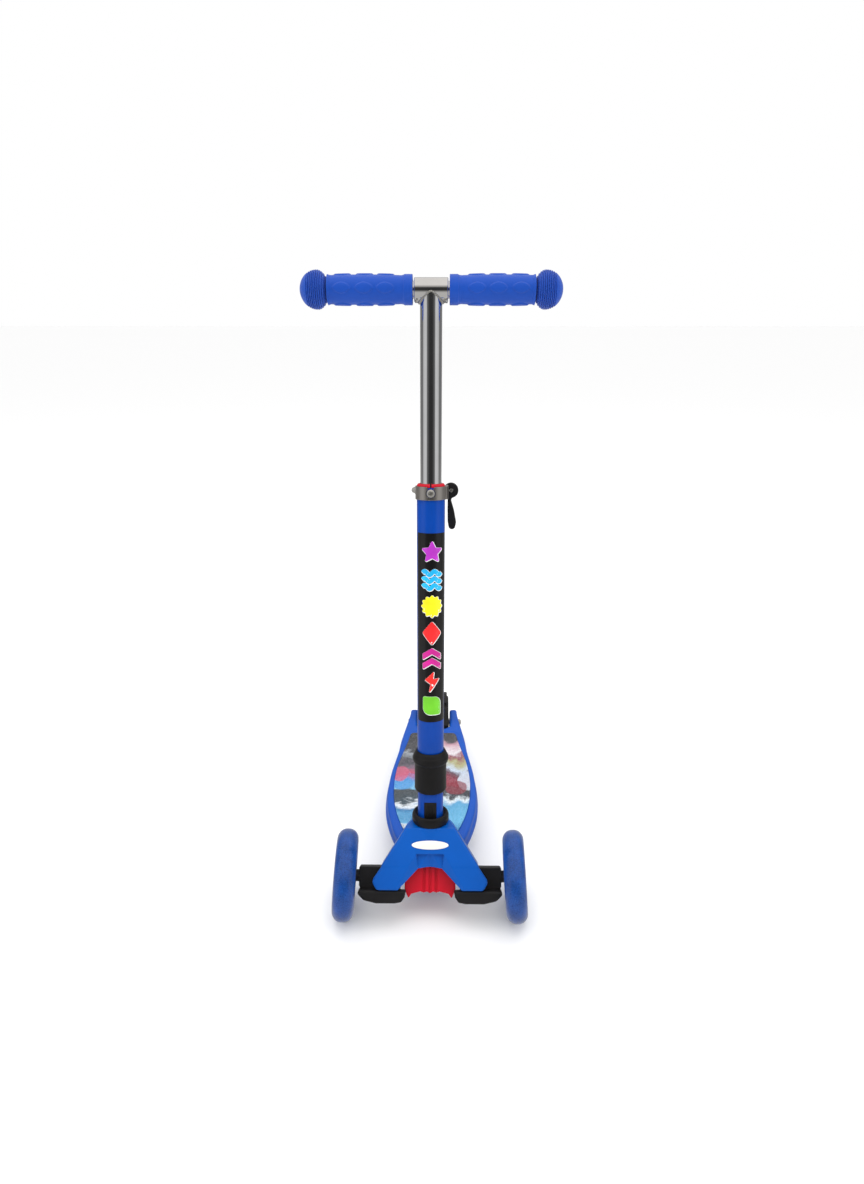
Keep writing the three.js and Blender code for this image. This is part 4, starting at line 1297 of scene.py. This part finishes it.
FACE_Y, BACK_Y = -24.0, -15.0
PUSH_Y = Matrix(((1, 0, 0, 0), (0, 0, 1, 0), (0, 1, 0, 0), (0, 0, 0, 1)))
OUTER_EDGE = [(69, -15, 5), (74.6, -6, 6), (73.8, -1, 4), (61.2, 17, 30), (47.2, 38, 60),
              (39, 51.5, 60), (30.6, 66, 6), (24, 72, 4)]


def hood_shell():
    """The two-legged hood with its sunken panel, the socket for the stub and the foot over the deck."""
    face = eased(both_sides([(15.2, 12, 2), (41.8, -15, 3), *OUTER_EDGE]))
    upper = eased(both_sides([(64.8, 13, 2), (30.6, 66, 6), (24, 72, 4)]))
    inside = eased(both_sides([(50.5, 27, 3), (26, 62, 3)]))
    panel = eased(both_sides([(15.2, 6, 0.5), (17.9, 30.5, 1)]))
    to_stem, to_deck = STEM.inverted() @ TRUCK, DECK.inverted() @ TRUCK

    def field(x, y, z):
        legs = polygon_field(x, z, face)
        shell = slab_field(legs, y, FACE_Y, BACK_Y, 3.0)
        shell = joined(shell, slab_field(polygon_field(x, z, upper), y, FACE_Y, 12, 3.0), 1.0)
        # a facet down the inner side of each leg, from a crease that starts at the panel's corner
        crease = (np.abs(x) - 17.9) * 0.851 + (z - 30.5) * 0.525
        facet = np.maximum(0.92 * (y - FACE_Y) + 0.4 * crease, z - 30.5)
        shell = without(shell, facet, 0.2)
        shell = without(shell, slab_field(polygon_field(x, z, inside), y, BACK_Y, 20, 1.0), 1.0)
        sunk = polygon_field(x, z, panel)
        shell = without(shell, np.maximum(sunk, y - FACE_Y - 5.6), 0.2)
        for side in (-1, 1):
            shell = without(shell, rod_field(x - side * KING_X, y, z, 4.3, 0, 22))
        sx, sy, sz = through(to_stem, x, y, z)
        dx, dy, dz = through(to_deck, x, y, z)
        socket = rod_field(sx, sy, sz, 23.4, -66, -8.3, 1.5)
        socket = common(socket, box_field(dx, dy, dz, (-40, -60, 60), (40, 80, 140)))
        ridge = [(0, 67), (73, 67), (72, 71.2), (57, 71.2), (48, 84), (0, 84)]
        spine = slab_field(polygon_field(dy, dz, ridge), dx, -16, 16, 1.0)
        foot = joined(socket, spine, 4.0)
        foot = without(foot, box_field(x, y, z, (-90, -60, -80), (90, 60, 13)))
        foot = without(foot, box_field(dx, dy, dz, (-90, 30, 0), (90, 120, 66.3)))
        made = joined(shell, foot, 3.0)
        made = without(made, rod_field(sx, sy, sz, 90, -8.3, 60))
        made = without(made, rod_field(sx, sy, sz, 17, -44.4, 0))
        for side in (-1, 1):
            made = without(made, rod_field(dx - side * BOLT_X, dy - BOLT_Y, dz, 2.8, 60, 80))
        return made

    return skin(field, (-78, -27, -19), (78, 76, 77), 0.8)


def bumper_shell():
    """The grooved spring block between the carriers, scalloped along its lower edge."""
    scallops = []
    for k in range(6):
        x = 20.5 - 8.2 * k
        scallops.append((x, -19.3 if 0 < k < 5 else -21.3, 1.5))
        if k < 5:
            scallops.append((x - 4.1, -22.4 + 0.12 * abs(x - 4.1), 1.2))
    corners = [(26, 12.6, 1), (33.4, -10, 1), (33.4, -17, 1), (28.3, -28, 0.8), (24.5, -22.5, 1),
               *scallops, (-24.5, -22.5, 1), (-28.3, -28, 0.8), (-33.4, -17, 1), (-33.4, -10, 1),
               (-26, 12.6, 1)]
    outline = eased(corners, steps=3)

    def field(x, y, z):
        block = slab_field(polygon_field(x, z, outline), y, -5, 9, 0.8)
        for centre in (-8, 0, 8):
            groove = slab_field(np.abs(x - centre) - 1.7, y, -9, -2.6)
            block = without(block, groove, 0.8)
        return block

    return skin(field, (-35, -7, -30), (35, 11, 14.5), 0.6)


class SCOOTER_OT_hood(bpy.types.Operator):
    """Make the front hood, its oval badge, the bumper and the deck bolts"""

    bl_idname = "scooter.hood"
    bl_label = "Front hood"

    def execute(self, context):
        body = "chassis"
        piece("hood_moulded", hood_shell(), TRUCK, body, finish("hood"), ["front_hood"], 40)
        oval = plate(ellipse(24, 5.6, 96, 0, 42), -25.1, -24.2, 0.4, place=PUSH_Y)
        piece("badge_domed", oval, TRUCK, body, finish("badge"), ["badge_plate"])
        piece("bumper_moulded", bumper_shell(), TRUCK, body, finish("red"), ["centring_bumper"],
              40)
        head = eased(
            [(0, 52), (2.4, 52, 0.3), (2.4, 71.6), (5, 71.6, 0.3), (4.7, 73.6, 0.5), (3, 74.8, 0.5),
             (1.6, 74.8), (1.6, 73.2), (0, 73.2)], closed=False, steps=3,
        )
        for name, side in SIDES:
            shell = lathe(head, 60, hex_points=at_radius(head, 1.6))
            piece(f"deck_bolt_{name}_turned", shell, DECK @ moved(side * BOLT_X, BOLT_Y, 0), body,
                  finish("zinc"), [f"deck_bolt_{name}"])
        return {"FINISHED"}


# ---------- Steering ----------


def carrier_shell(side):
    """A wheel carrier: block, rounded pad beneath, kingpin hub, steering arm and axle stub."""
    block_line = eased([(46, -15.6, 1), (93.5, -15.6, 4), (93.5, 11.5, 2.2), (46, 11.5, 1)])
    pad_line = eased(
        [(31, -15.6, 1), (93, -15.6, 1.5), (94, -20.5, 3), (86, -28.4, 7), (70, -32, 12), (46, -32, 8),
         (37, -30.4, 4), (32.6, -24, 2)]
    )
    to_wheel = wheel_frame(side).inverted() @ TRUCK

    def field(x, y, z):
        out = side * x
        pad = slab_field(polygon_field(out, z, pad_line), y, -20, 12, 3.0)
        pad = without(pad, box_field(out, y, z, (25, -9.5, -45), (39.5, 14, 5)), 0.5)
        block = slab_field(polygon_field(out, z, block_line), y, -6, 10, 1.2)
        made = joined(pad, block, 1.2)
        made = joined(made, rod_field(out - KING_X, y, z, 9, -32, 12.4, 0.8), 1.0)
        made = joined(made, box_field(out, y, z, (43, 8, -8), (53, 27, -2), 1.5), 1.5)
        wx, wy, wz = through(to_wheel, x, y, z)
        made = joined(made, rod_field(wz, wy, side * wx, 7.5, -26, -12.8, 0.6), 1.0)
        made = without(made, rod_field(out - KING_X, y, z, 4.3, -40, 20))
        made = without(made, rod_field(out - KING_X, y - ARM_Y, z, 2.3, -12, 2))
        return without(made, rod_field(wz, wy, side * wx, 4.3, -42, 0))

    low, high = ((29, -22.5, -34), (104, 29.5, 14.5))
    if side < 0:
        low, high = (-high[0], low[1], low[2]), (-low[0], high[1], high[2])
    return skin(field, low, high, 0.8)


class SCOOTER_OT_steering(bpy.types.Operator):
    """Make the wheel carriers, kingpins, tie rod, pins and front axle bolts"""

    bl_idname = "scooter.steering"
    bl_label = "Steering"

    def execute(self, context):
        zinc = finish("zinc")
        king = eased([(0, -34.4), (5.8, -34.4, 0.4), (6.5, -33.9, 0.3), (6.5, -32.4, 0.3), (4, -32.4),
                      (4, 21.6, 0.5), (0, 21.6)], closed=False, steps=3)
        tie = eased([(0, -10.6), (3.6, -10.6, 0.5), (3.6, -8.4, 0.2), (2, -8.4), (2, 4.2, 0.4), (0, 4.2)],
                    closed=False, steps=3)
        axle = eased(
            [(0, -40), (4, -40, 0.5), (4, 12.4), (6.8, 12.4, 0.2), (6.8, 13.2, 0.3), (5.6, 14.1, 0.4),
             (2.6, 14.1), (2.6, 12.6), (0, 12.6)], closed=False, steps=4,
        )
        for name, side in SIDES:
            body = f"steer_{name}"
            piece(f"carrier_{name}_moulded", carrier_shell(side), TRUCK, body, finish("black"),
                  [f"carrier_{name}"], 40)
            at = TRUCK @ moved(side * KING_X, 0, 0)
            piece(f"kingpin_{name}_turned", lathe(king, 48), at, "chassis", zinc, [f"kingpin_{name}"])
            at = TRUCK @ moved(side * KING_X, ARM_Y, 0)
            piece(f"tie_pin_{name}_turned", lathe(tie, 32), at, body, zinc, [f"tie_pin_{name}"])
            shell = lathe(axle, 60, hex_points=at_radius(axle, 2.6))
            at = wheel_frame(side) @ (ALONG_X if side > 0 else turned("Y", -90))
            piece(f"axle_bolt_{name}_turned", shell, at, body, zinc, [f"front_axle_bolt_{name}"])
        refined("tie_rod", "tie_rod", zinc, 0.6)
        return {"FINISHED"}


# ---------- Wheels ----------


MOULD_LINE = 0.12  # depth


def tread(r, width, crown, bed, bed_half, groove):
    """A cast tread's closed section turned about X, with a fine mould line at its middle."""
    section = [(bed, -bed_half), (bed + 2, -bed_half - 0.6)]
    for i in range(37):
        angle = (i / 36 - 0.5) * math.pi
        side = 0 if i == 18 else math.copysign(width / 2 - crown, angle)
        rim = r - crown + crown * math.cos(angle)
        if i == 18:
            section.append((rim, -0.5))
            section.append((rim - groove, -0.2))
            section.append((rim - groove, 0.2))
            section.append((rim, 0.5))
        else:
            section.append((rim, side + crown * math.sin(angle)))
    section += [(bed + 2, bed_half + 0.6), (bed, bed_half)]
    return lathe(section, 144, closed=True)


def spoked_core():
    """The front wheel's moulded centre: rim, five dished spokes and hub, in the wheel's own frame."""

    def field(x, y, z):
        out = np.hypot(y, z)
        rim = slab_field(np.abs(out - 39.4) - 2.6, x, -8.6, 8.6, 0.8)
        web = slab_field(np.abs(out - 26) - 12, x, -1.6, 1.6)
        made = joined(rim, web, 1.5)
        made = joined(made, rod_field(y, z, x, 15, -12, 12, 1.2), 2.0)
        angle = np.arctan2(y, z)
        fifth = 2 * math.pi / 5
        near = (angle + fifth / 2) % fifth - fifth / 2
        along, across = out * np.cos(near), out * np.sin(near)
        arm = np.maximum(np.abs(across) - 3.4 - 0.05 * (40 - along), np.abs(along - 24) - 16)
        made = joined(made, np.maximum(arm, np.abs(x) - 6.5), 2.0)
        middle = (angle + fifth) % fifth - fifth / 2
        hole = np.hypot(out * np.cos(middle) - 27.5, out * np.sin(middle)) - 7.2
        made = without(made, hole, 1.0)
        return without(made, rod_field(y, z, x, 11.3, -20, 20))

    return skin(field, (-13.5, -44, -44), (13.5, 44, 44), 0.75)


def bearing_shell(side, near, bore):
    """A ball bearing: outer ring, sunken shield and inner ring, all in one turned shape."""
    a, b = near, near + 7
    profile = eased(
        [(bore, a, 0.3), (6.6, a, 0.2), (6.6, a + 0.7), (9, a + 0.7), (9, a, 0.2), (11, a, 0.4),
         (11, b, 0.4), (9, b, 0.2), (9, b - 0.7), (6.6, b - 0.7), (6.6, b, 0.2), (bore, b, 0.3)],
        steps=2,
    )
    return lathe([(r, side * h) for r, h in profile], 60, closed=True)


class SCOOTER_OT_front_wheels(bpy.types.Operator):
    """Make the two front wheels with their treads, centres and bearings"""

    bl_idname = "scooter.front_wheels"
    bl_label = "Front wheels"

    def execute(self, context):
        core = spoked_core()
        for name, side in SIDES:
            body = f"front_wheel_{name}"
            at = wheel_frame(side)
            shell = placed(tread(FRONT_R, 28, FRONT_CROWN, 42.3, 9.2, MOULD_LINE), ALONG_X)
            piece(f"tread_{name}", shell, at, body, finish("tread"), [f"front_tyre_{name}"],
                  40)
            piece(f"wheel_centre_{name}", core, at, body, finish("core"), [f"front_core_{name}"],
                  40)
            for place, near in (("inner", -12), ("outer", 5)):
                shell = placed(bearing_shell(side, near, 4.3), ALONG_X)
                piece(f"bearing_{place}_{name}_ring", shell, at, body, finish("zinc"),
                      [f"bearing_{place}_{name}"])
        return {"FINISHED"}


class SCOOTER_OT_rear_wheel(bpy.types.Operator):
    """Make the rear wheel, its bearings, spacers, bolt and nut"""

    bl_idname = "scooter.rear_wheel"
    bl_label = "Rear wheel"

    def execute(self, context):
        body, zinc, at = "rear_wheel", finish("zinc"), REAR_AXLE @ ALONG_X
        shell = tread(REAR_R, 44, 9, 27.3, 18.2, MOULD_LINE)
        piece("rear_tread", shell, at, body, finish("tread"), ["rear_tyre"], 40)
        core = eased(
            [(11.3, -22, 0.3), (15, -22, 0.6), (15.6, -12.5, 1), (22.6, -12.5, 1), (23.2, -21, 0.6),
             (25.6, -22, 0.6), (27, -20.6, 0.6), (27, 20.6, 0.6), (25.6, 22, 0.6), (23.2, 21, 0.6),
             (22.6, 12.5, 1), (15.6, 12.5, 1), (15, 22, 0.6), (11.3, 22, 0.3)], steps=3,
        )
        piece("rear_centre", lathe(core, 96, closed=True), at, body, finish("core"), ["rear_core"])
        for name, side in SIDES:
            shell = bearing_shell(side, 15, 4.3)
            piece(f"rear_bearing_{name}_ring", shell, at, body, zinc, [f"rear_bearing_{name}"])
            spacer = ring(4.3, 7, 22.3, 28.7, 0.5, segments=48)
            place = at if side > 0 else REAR_AXLE @ turned("Y", -90)
            piece(f"rear_spacer_{name}_turned", spacer, place, "chassis", zinc,
                  [f"rear_spacer_{name}"])
        bolt = eased(
            [(0, -45), (2.4, -45), (2.4, -47.2), (5.4, -47.2, 0.8), (7, -45, 0.8), (7, -42.8, 0.3),
             (4, -42.8), (4, 46, 0.5), (0, 46)], closed=False, steps=4,
        )
        shell = lathe(bolt, 60, hex_points=at_radius(bolt, 2.4))
        piece("rear_bolt_turned", shell, at, "chassis", zinc, ["rear_axle_bolt"])
        nut = [(4.3, 42.9), (6.1, 42.9), (6.1, 46.6), (5.6, 47.2), (5.4, 48), (4.6, 49.4), (3, 50.2),
               (0, 50.4), (0, 46.5), (4.3, 46.5)]
        piece("rear_nut_turned", lathe(nut, 60, closed=True, hex_points=(1, 2)), at, "chassis", zinc,
              ["rear_axle_nut"])
        return {"FINISHED"}


# ---------- Deck, mat and brake ----------


def curve_through(points, steps):
    """A smooth line through points, as a uniform Catmull-Rom spline."""
    p = np.array([points[0], *points, points[-1]], float)
    out = []
    for i in range(1, len(p) - 2):
        for k in range(steps):
            t = k / steps
            a, b, c, d = p[i - 1], p[i], p[i + 1], p[i + 2]
            out.append(
                0.5 * (2 * b + (c - a) * t + (2 * a - 5 * b + 4 * c - d) * t * t
                       + (3 * b - a - 3 * c + d) * t**3)
            )
    out.append(p[-1])
    return [tuple(q) for q in out]


DECK_EDGE = [(24, 33), (37, 43), (46.4, 64), (54.1, 86), (59.7, 109), (64.6, 132), (67.2, 157),
             (67.9, 183), (67, 210), (64.8, 237), (60.9, 267), (57, 297), (54.9, 325), (50.8, 358),
             (46, 393), (43.6, 412), (42.4, 425)]
SKIRT_EDGE = [(24, 33), (38, 43), (48, 64), (55.6, 85), (62.2, 107), (67.2, 131), (69.7, 155),
              (70.4, 180), (69.6, 206), (67, 237), (62.6, 267), (58, 297), (55.2, 325), (50.8, 358),
              (46, 393), (43.6, 412), (42.4, 425)]
TAIL_EDGE = [(42.2, 436), (42, 447), (29, 447), (29, 376), (21, 368)]
POCKET_EDGE = [(33, 48), (43, 66), (49.5, 86), (55, 109), (60, 132), (62.8, 160), (63.2, 183),
               (61.5, 215), (57, 255), (52, 290), (46.8, 335), (43.4, 358)]
MAT_EDGE = [(29.7, 76.3), (36.7, 80.3), (46.2, 106), (52.5, 130), (56.6, 155), (58.5, 180), (59, 206),
            (57.4, 234), (53.7, 264), (47.7, 294), (42.1, 325), (39.1, 343.7), (34.7, 349.7)]


def deck_shell():
    """The moulded deck: crowned rim, ribbed underside, wheel slot between two dropped tail arms."""
    rim = both_sides([*curve_through(DECK_EDGE, 3), *TAIL_EDGE])
    skirt = both_sides([*curve_through(SKIRT_EDGE, 3), *TAIL_EDGE])
    pocket = both_sides(curve_through(POCKET_EDGE, 2))
    bed = both_sides([(x + 0.3, y) for x, y in curve_through(MAT_EDGE, 3)])
    side = eased(
        [(20, 60), (20, 66), (445, 66, 18), (447, 30, 16), (430, 26.8, 14), (405, 35, 20),
         (388, 44, 14), (40, 44, 8)], steps=8,
    )
    ribs_at = (64, 120, 180, 240, 300)

    def field(x, y, z):
        share = np.clip((z - 50) / 8, 0, 1)
        upper, lower = polygon_field(x, y, rim), polygon_field(x, y, skirt)
        outline = lower + (upper - lower) * share * share * (3 - 2 * share)
        profile = polygon_field(y, z, side)
        made = common(outline, profile, 5.0)
        hollow = slab_field(polygon_field(x, y, pocket), z, 30, 61, 1.5)
        solid_rib = np.abs(x) - 5
        for at in ribs_at:
            solid_rib = np.minimum(solid_rib, np.abs(y - at) - 2)
        made = without(made, without(hollow, solid_rib, 1.0), 1.0)
        made = without(made, slab_field(polygon_field(x, y, bed), z, 64.5, 90), 0.5)
        lip = slab_field(polygon_field(x, y, bed) - 5.5, z, 65.4, 90)
        made = without(made, lip, 0.8)
        made = without(made, rod_field(y - WHEELBASE, z - REAR_R, x, 4.3, -60, 60))
        made = without(made, rod_field(y - BRAKE_Y, z - BRAKE_Z, x, 2.8, -36.4, 36.4))
        for s in (-1, 1):
            made = without(made, rod_field(x - s * BOLT_X, y - BOLT_Y, z, 2.8, 51, 80))
        return made

    return skin(field, (-73, 30, 24), (73, 450, 69), 1.5)


def brake_shell():
    """The foot brake: a fender over the rear wheel, a raised pad on top and a hinge lug each side."""
    lug_line = [(381, 52), (389, 52), (396, 62), (405, 80), (398, 82), (389, 70), (381, 63)]

    def field(x, y, z):
        dy, dz = y - WHEELBASE, z - REAR_R
        out = np.hypot(dy, dz)
        angle = np.degrees(np.arctan2(dz, dy))
        half = 27 - 0.6 * np.exp(-(((out - 48) / 2) ** 2))
        cover = np.maximum(np.abs(out - 46.3) - 1.75, np.maximum(34 - angle, angle - 156))
        pedal = np.maximum(np.abs(out - 50) - 5.8, np.abs(angle - 88) - 24)
        pad = common(pedal, np.abs(x) - 24, 2.0)
        lug = slab_field(polygon_field(y, z, lug_line), x, -half, half, 1.0)
        made = common(joined(cover, lug, 2.0), np.abs(x) - half, 1.6)
        made = joined(made, pad, 2.5)
        made = without(made, box_field(x, y, z, (-17.5, 300, 0), (17.5, 393, 90)), 1.0)
        made = np.maximum(made, 44.5 - out)
        return without(made, rod_field(y - BRAKE_Y, z - BRAKE_Z, x, 2.8, -40, 40))

    return skin(field, (-29, 378, 48), (29, 478, 100), 0.9)


class SCOOTER_OT_deck(bpy.types.Operator):
    """Make the deck and its printed anti-slip mat"""

    bl_idname = "scooter.deck"
    bl_label = "Deck"

    def execute(self, context):
        piece("deck_moulded", deck_shell(), DECK, "chassis", finish("shell"), ["deck"], 40)
        outline = both_sides(curve_through(MAT_EDGE, 6))
        sheet = plate(outline, 64.8, 66.4, 0.3)
        piece("deck_mat_printed", sheet, DECK, "chassis", finish("mat"), ["deck_mat"])
        return {"FINISHED"}


class SCOOTER_OT_brake(bpy.types.Operator):
    """Make the foot brake, its pin and its spring"""

    bl_idname = "scooter.brake"
    bl_label = "Foot brake"

    def execute(self, context):
        black, zinc = finish("black"), finish("zinc")
        piece("brake_moulded", brake_shell(), DECK, "brake", black, ["brake_fender"], 40)
        pin = eased([(0, -36), (2.5, -36, 0.5), (2.5, 36, 0.5), (0, 36)], closed=False)
        at = DECK @ moved(0, BRAKE_Y, BRAKE_Z)
        piece("brake_pin_turned", lathe(pin, 32), at @ ALONG_X, "chassis", zinc, ["brake_pin"])
        coil = at @ moved(-5.5, 0, 0) @ ALONG_X
        spring("brake_spring_wire", 5, 4, 11, 0.9, coil, "chassis", ["brake_spring"])
        return {"FINISHED"}


# ---------- Stage ----------


def area_light(name, power, size, at, aim):
    """A soft rectangular light that lights the pieces but isn't mirrored in them."""
    light = bpy.data.lights.new(name, "AREA")
    light.energy, light.shape = power, "RECTANGLE"
    light.size, light.size_y = size
    lamp = bpy.data.objects.new(name, light)
    lamp.location = at
    lamp.rotation_euler = (Vector(aim) - Vector(at)).to_track_quat("-Z", "Y").to_euler()
    lamp.visible_glossy = False
    bpy.context.scene.collection.objects.link(lamp)


# How bright the room is, from straight in front (0) round either side to straight behind (1): as
# it lights the pieces, and as they mirror it.
ROOM = [(0.0, 0.10), (0.21, 0.14), (0.27, 0.95), (0.48, 0.95), (0.55, 0.26), (0.76, 0.3),
        (0.83, 0.95), (1.0, 0.95)]
MIRRORED = [(0.0, 0.03), (0.1, 0.04), (0.22, 0.14), (0.28, 0.62), (0.46, 0.55), (0.55, 0.16),
            (0.76, 0.2), (1.0, 0.45)]


def soft_room(strength):
    """A soft white room with dim walls in front and at the sides, for reflections to read well."""
    world = bpy.data.worlds.new("soft_room")
    world.use_nodes = True
    n = Nodes(world.node_tree)
    x, y, z = n.node("SeparateXYZ", Vector=n.node("TexCoord").outputs["Generated"]).outputs
    turn = n.math("ABSOLUTE", n.math("ARCTAN2", x, n.math("MULTIPLY", y, -1.0)))
    share = n.math("DIVIDE", turn, math.pi)
    height = n.math("ADD", n.math("MULTIPLY", z, 0.5), 0.5)
    above = n.ramp(height, [(0.6, 0.0), (0.7, 1.0)])
    lit = n.mix(above, n.ramp(share, [(at, (v, v, v)) for at, v in ROOM]), (1.12, 1.12, 1.12, 1))
    higher = n.ramp(height, [(0.66, 0.0), (0.86, 1.0)])
    lower = n.ramp(height, [(0.28, 1.0), (0.46, 0.0)])
    glow = n.mix(lower, n.ramp(share, [(at, (v, v, v)) for at, v in MIRRORED]), (0.5, 0.49, 0.47, 1))
    glow = n.mix(higher, glow, (0.8, 0.77, 0.73, 1))
    ray = n.node("LightPath").outputs
    room = n.mix(ray["Is Glossy Ray"], lit, glow)
    shown = n.mix(ray["Is Camera Ray"], room, (1, 1, 1, 1))
    light = world.node_tree.nodes["Background"]
    world.node_tree.links.new(shown, light.inputs["Color"])
    light.inputs["Strength"].default_value = strength
    return world


SENSOR, LENS = 36, 23.2601  # millimetres
CAMERA_AT = (0.01355, -1.0263, 0.759)  # metres
CAMERA_DOWN, CAMERA_TURN = 20.22, 0.776  # degrees


class SCOOTER_OT_stage(bpy.types.Operator):
    """Make the pale floor, the soft lights and the camera"""

    bl_idname = "scooter.stage"
    bl_label = "Stage"

    def execute(self, context):
        settings = context.scene.scooter_stage
        scene = context.scene
        mesh = bpy.data.meshes.new("floor")
        reach = settings.floor_size
        corners = [(-reach, -reach, 0), (reach, -reach, 0), (reach, reach, 0), (-reach, reach, 0)]
        mesh.from_pydata(corners, [], [(0, 1, 2, 3)])
        floor = bpy.data.objects.new("floor", mesh)
        scene.collection.objects.link(floor)
        f = Finish("floor_paper", Roughness=0.9, Specular_IOR_Level=0.1)
        f.shader.inputs["Base Color"].default_value = (0.93, 0.93, 0.93, 1)
        mesh.materials.append(f.material)

        floor.visible_glossy = False
        scene.world = soft_room(settings.room_light)
        power = settings.light_power
        area_light("key_left", 0.7 * power, (1.0, 2.0), (-2.0, -1.0, 1.3), (0, 0, 0.4))
        area_light("key_right", 0.7 * power, (0.7, 2.0), (2.0, -1.1, 1.3), (0, 0, 0.4))
        area_light("top", 1.6 * power, (2.6, 2.6), (0, -0.3, 3.0), (0, 0, 0))

        camera = bpy.data.cameras.new("camera")
        camera.sensor_fit, camera.sensor_width, camera.lens = "AUTO", SENSOR, LENS
        camera.clip_start, camera.clip_end = 0.01, 50
        seat = bpy.data.objects.new("camera", camera)
        seat.location = CAMERA_AT
        seat.rotation_euler = (math.radians(90 - CAMERA_DOWN), 0, math.radians(CAMERA_TURN))
        scene.collection.objects.link(seat)
        scene.camera = seat
        scene.view_settings.view_transform = "Standard"
        return {"FINISHED"}


# ---------- Settings, panel and the run ----------


def millimetres(name, description, default):
    return FloatProperty(
        name=name, description=description, default=default * MM, unit="LENGTH", precision=5, min=0
    )


def colour(name, description, rgb):
    return FloatVectorProperty(
        name=name, description=description, default=linear(rgb), subtype="COLOR", min=0, max=1
    )


class ScooterSizes(bpy.types.PropertyGroup):
    """Sizes that change how the pieces look"""

    pad_height: millimetres("Pad height", "How far the oval pads stand out of a grip", 1.2)
    rib_depth: millimetres("Rib depth", "How deep the grooves on a grip's ball are", 1.8)
    ball_ribs: IntProperty(name="Ball ribs", description="Ribs round a grip's ball", default=11, min=2)
    button_ribs: IntProperty(name="Button ribs", description="Ribs on the push-button", default=5, min=1)
    weld_radius: millimetres("Weld radius", "Radius of the weld bead under the sleeve", 1.3)


class ScooterColours(bpy.types.PropertyGroup):
    """Colours of the painted and moulded pieces"""

    tube: colour("Tube", "Powder coat of the mast and stub", (0, 64, 158))
    deck: colour("Deck", "Moulded deck", (20, 80, 176))
    hood: colour("Hood", "Moulded front hood", (0, 84, 176))
    grip: colour("Grip", "Soft handlebar grips", (6, 70, 172))
    black: colour("Black", "Black plastic pieces", (30, 29, 30))
    red: colour("Red", "Bumper and bushing", (196, 14, 38))
    tread: colour("Tread", "Cast wheel treads", (16, 66, 138))


class ScooterStage(bpy.types.PropertyGroup):
    """Floor and lights"""

    floor_size: FloatProperty(
        name="Floor size", description="Half the width of the floor", default=40.0, unit="LENGTH", min=1
    )
    room_light: FloatProperty(
        name="Room light", description="Strength of the even light", default=1.0, min=0
    )
    light_power: FloatProperty(
        name="Light power", description="Power of the soft lights", default=16.0, unit="POWER", min=0
    )


STEPS = (
    SCOOTER_OT_stage,
    SCOOTER_OT_handlebar,
    SCOOTER_OT_mast,
    SCOOTER_OT_clamp,
    SCOOTER_OT_foot,
    SCOOTER_OT_hood,
    SCOOTER_OT_steering,
    SCOOTER_OT_front_wheels,
    SCOOTER_OT_rear_wheel,
    SCOOTER_OT_deck,
    SCOOTER_OT_brake,
)


class SCOOTER_PT_pieces(bpy.types.Panel):
    """The scooter's pieces, in the order they are made"""

    bl_label = "Kick Scooter"
    bl_idname = "SCOOTER_PT_pieces"
    bl_space_type = "VIEW_3D"
    bl_region_type = "UI"
    bl_category = "Scooter"

    def draw(self, context):
        for group in ("scooter_sizes", "scooter_colours", "scooter_stage"):
            box = self.layout.box()
            settings = getattr(context.scene, group)
            for key in settings.bl_rna.properties.keys():
                if key not in ("rna_type", "name"):
                    box.prop(settings, key)
        for step in STEPS:
            self.layout.operator(step.bl_idname)


CLASSES = (ScooterSizes, ScooterColours, ScooterStage, *STEPS, SCOOTER_PT_pieces)


def register():
    for made in CLASSES:
        bpy.utils.register_class(made)
    bpy.types.Scene.scooter_sizes = PointerProperty(type=ScooterSizes)
    bpy.types.Scene.scooter_colours = PointerProperty(type=ScooterColours)
    bpy.types.Scene.scooter_stage = PointerProperty(type=ScooterStage)


def unregister():
    for key in ("scooter_sizes", "scooter_colours", "scooter_stage"):
        delattr(bpy.types.Scene, key)
    for made in reversed(CLASSES):
        bpy.utils.unregister_class(made)


def main():
    register()
    for step in STEPS:
        group, name = step.bl_idname.split(".")
        getattr(getattr(bpy.ops, group), name)()


if __name__ == "__main__":
    main()
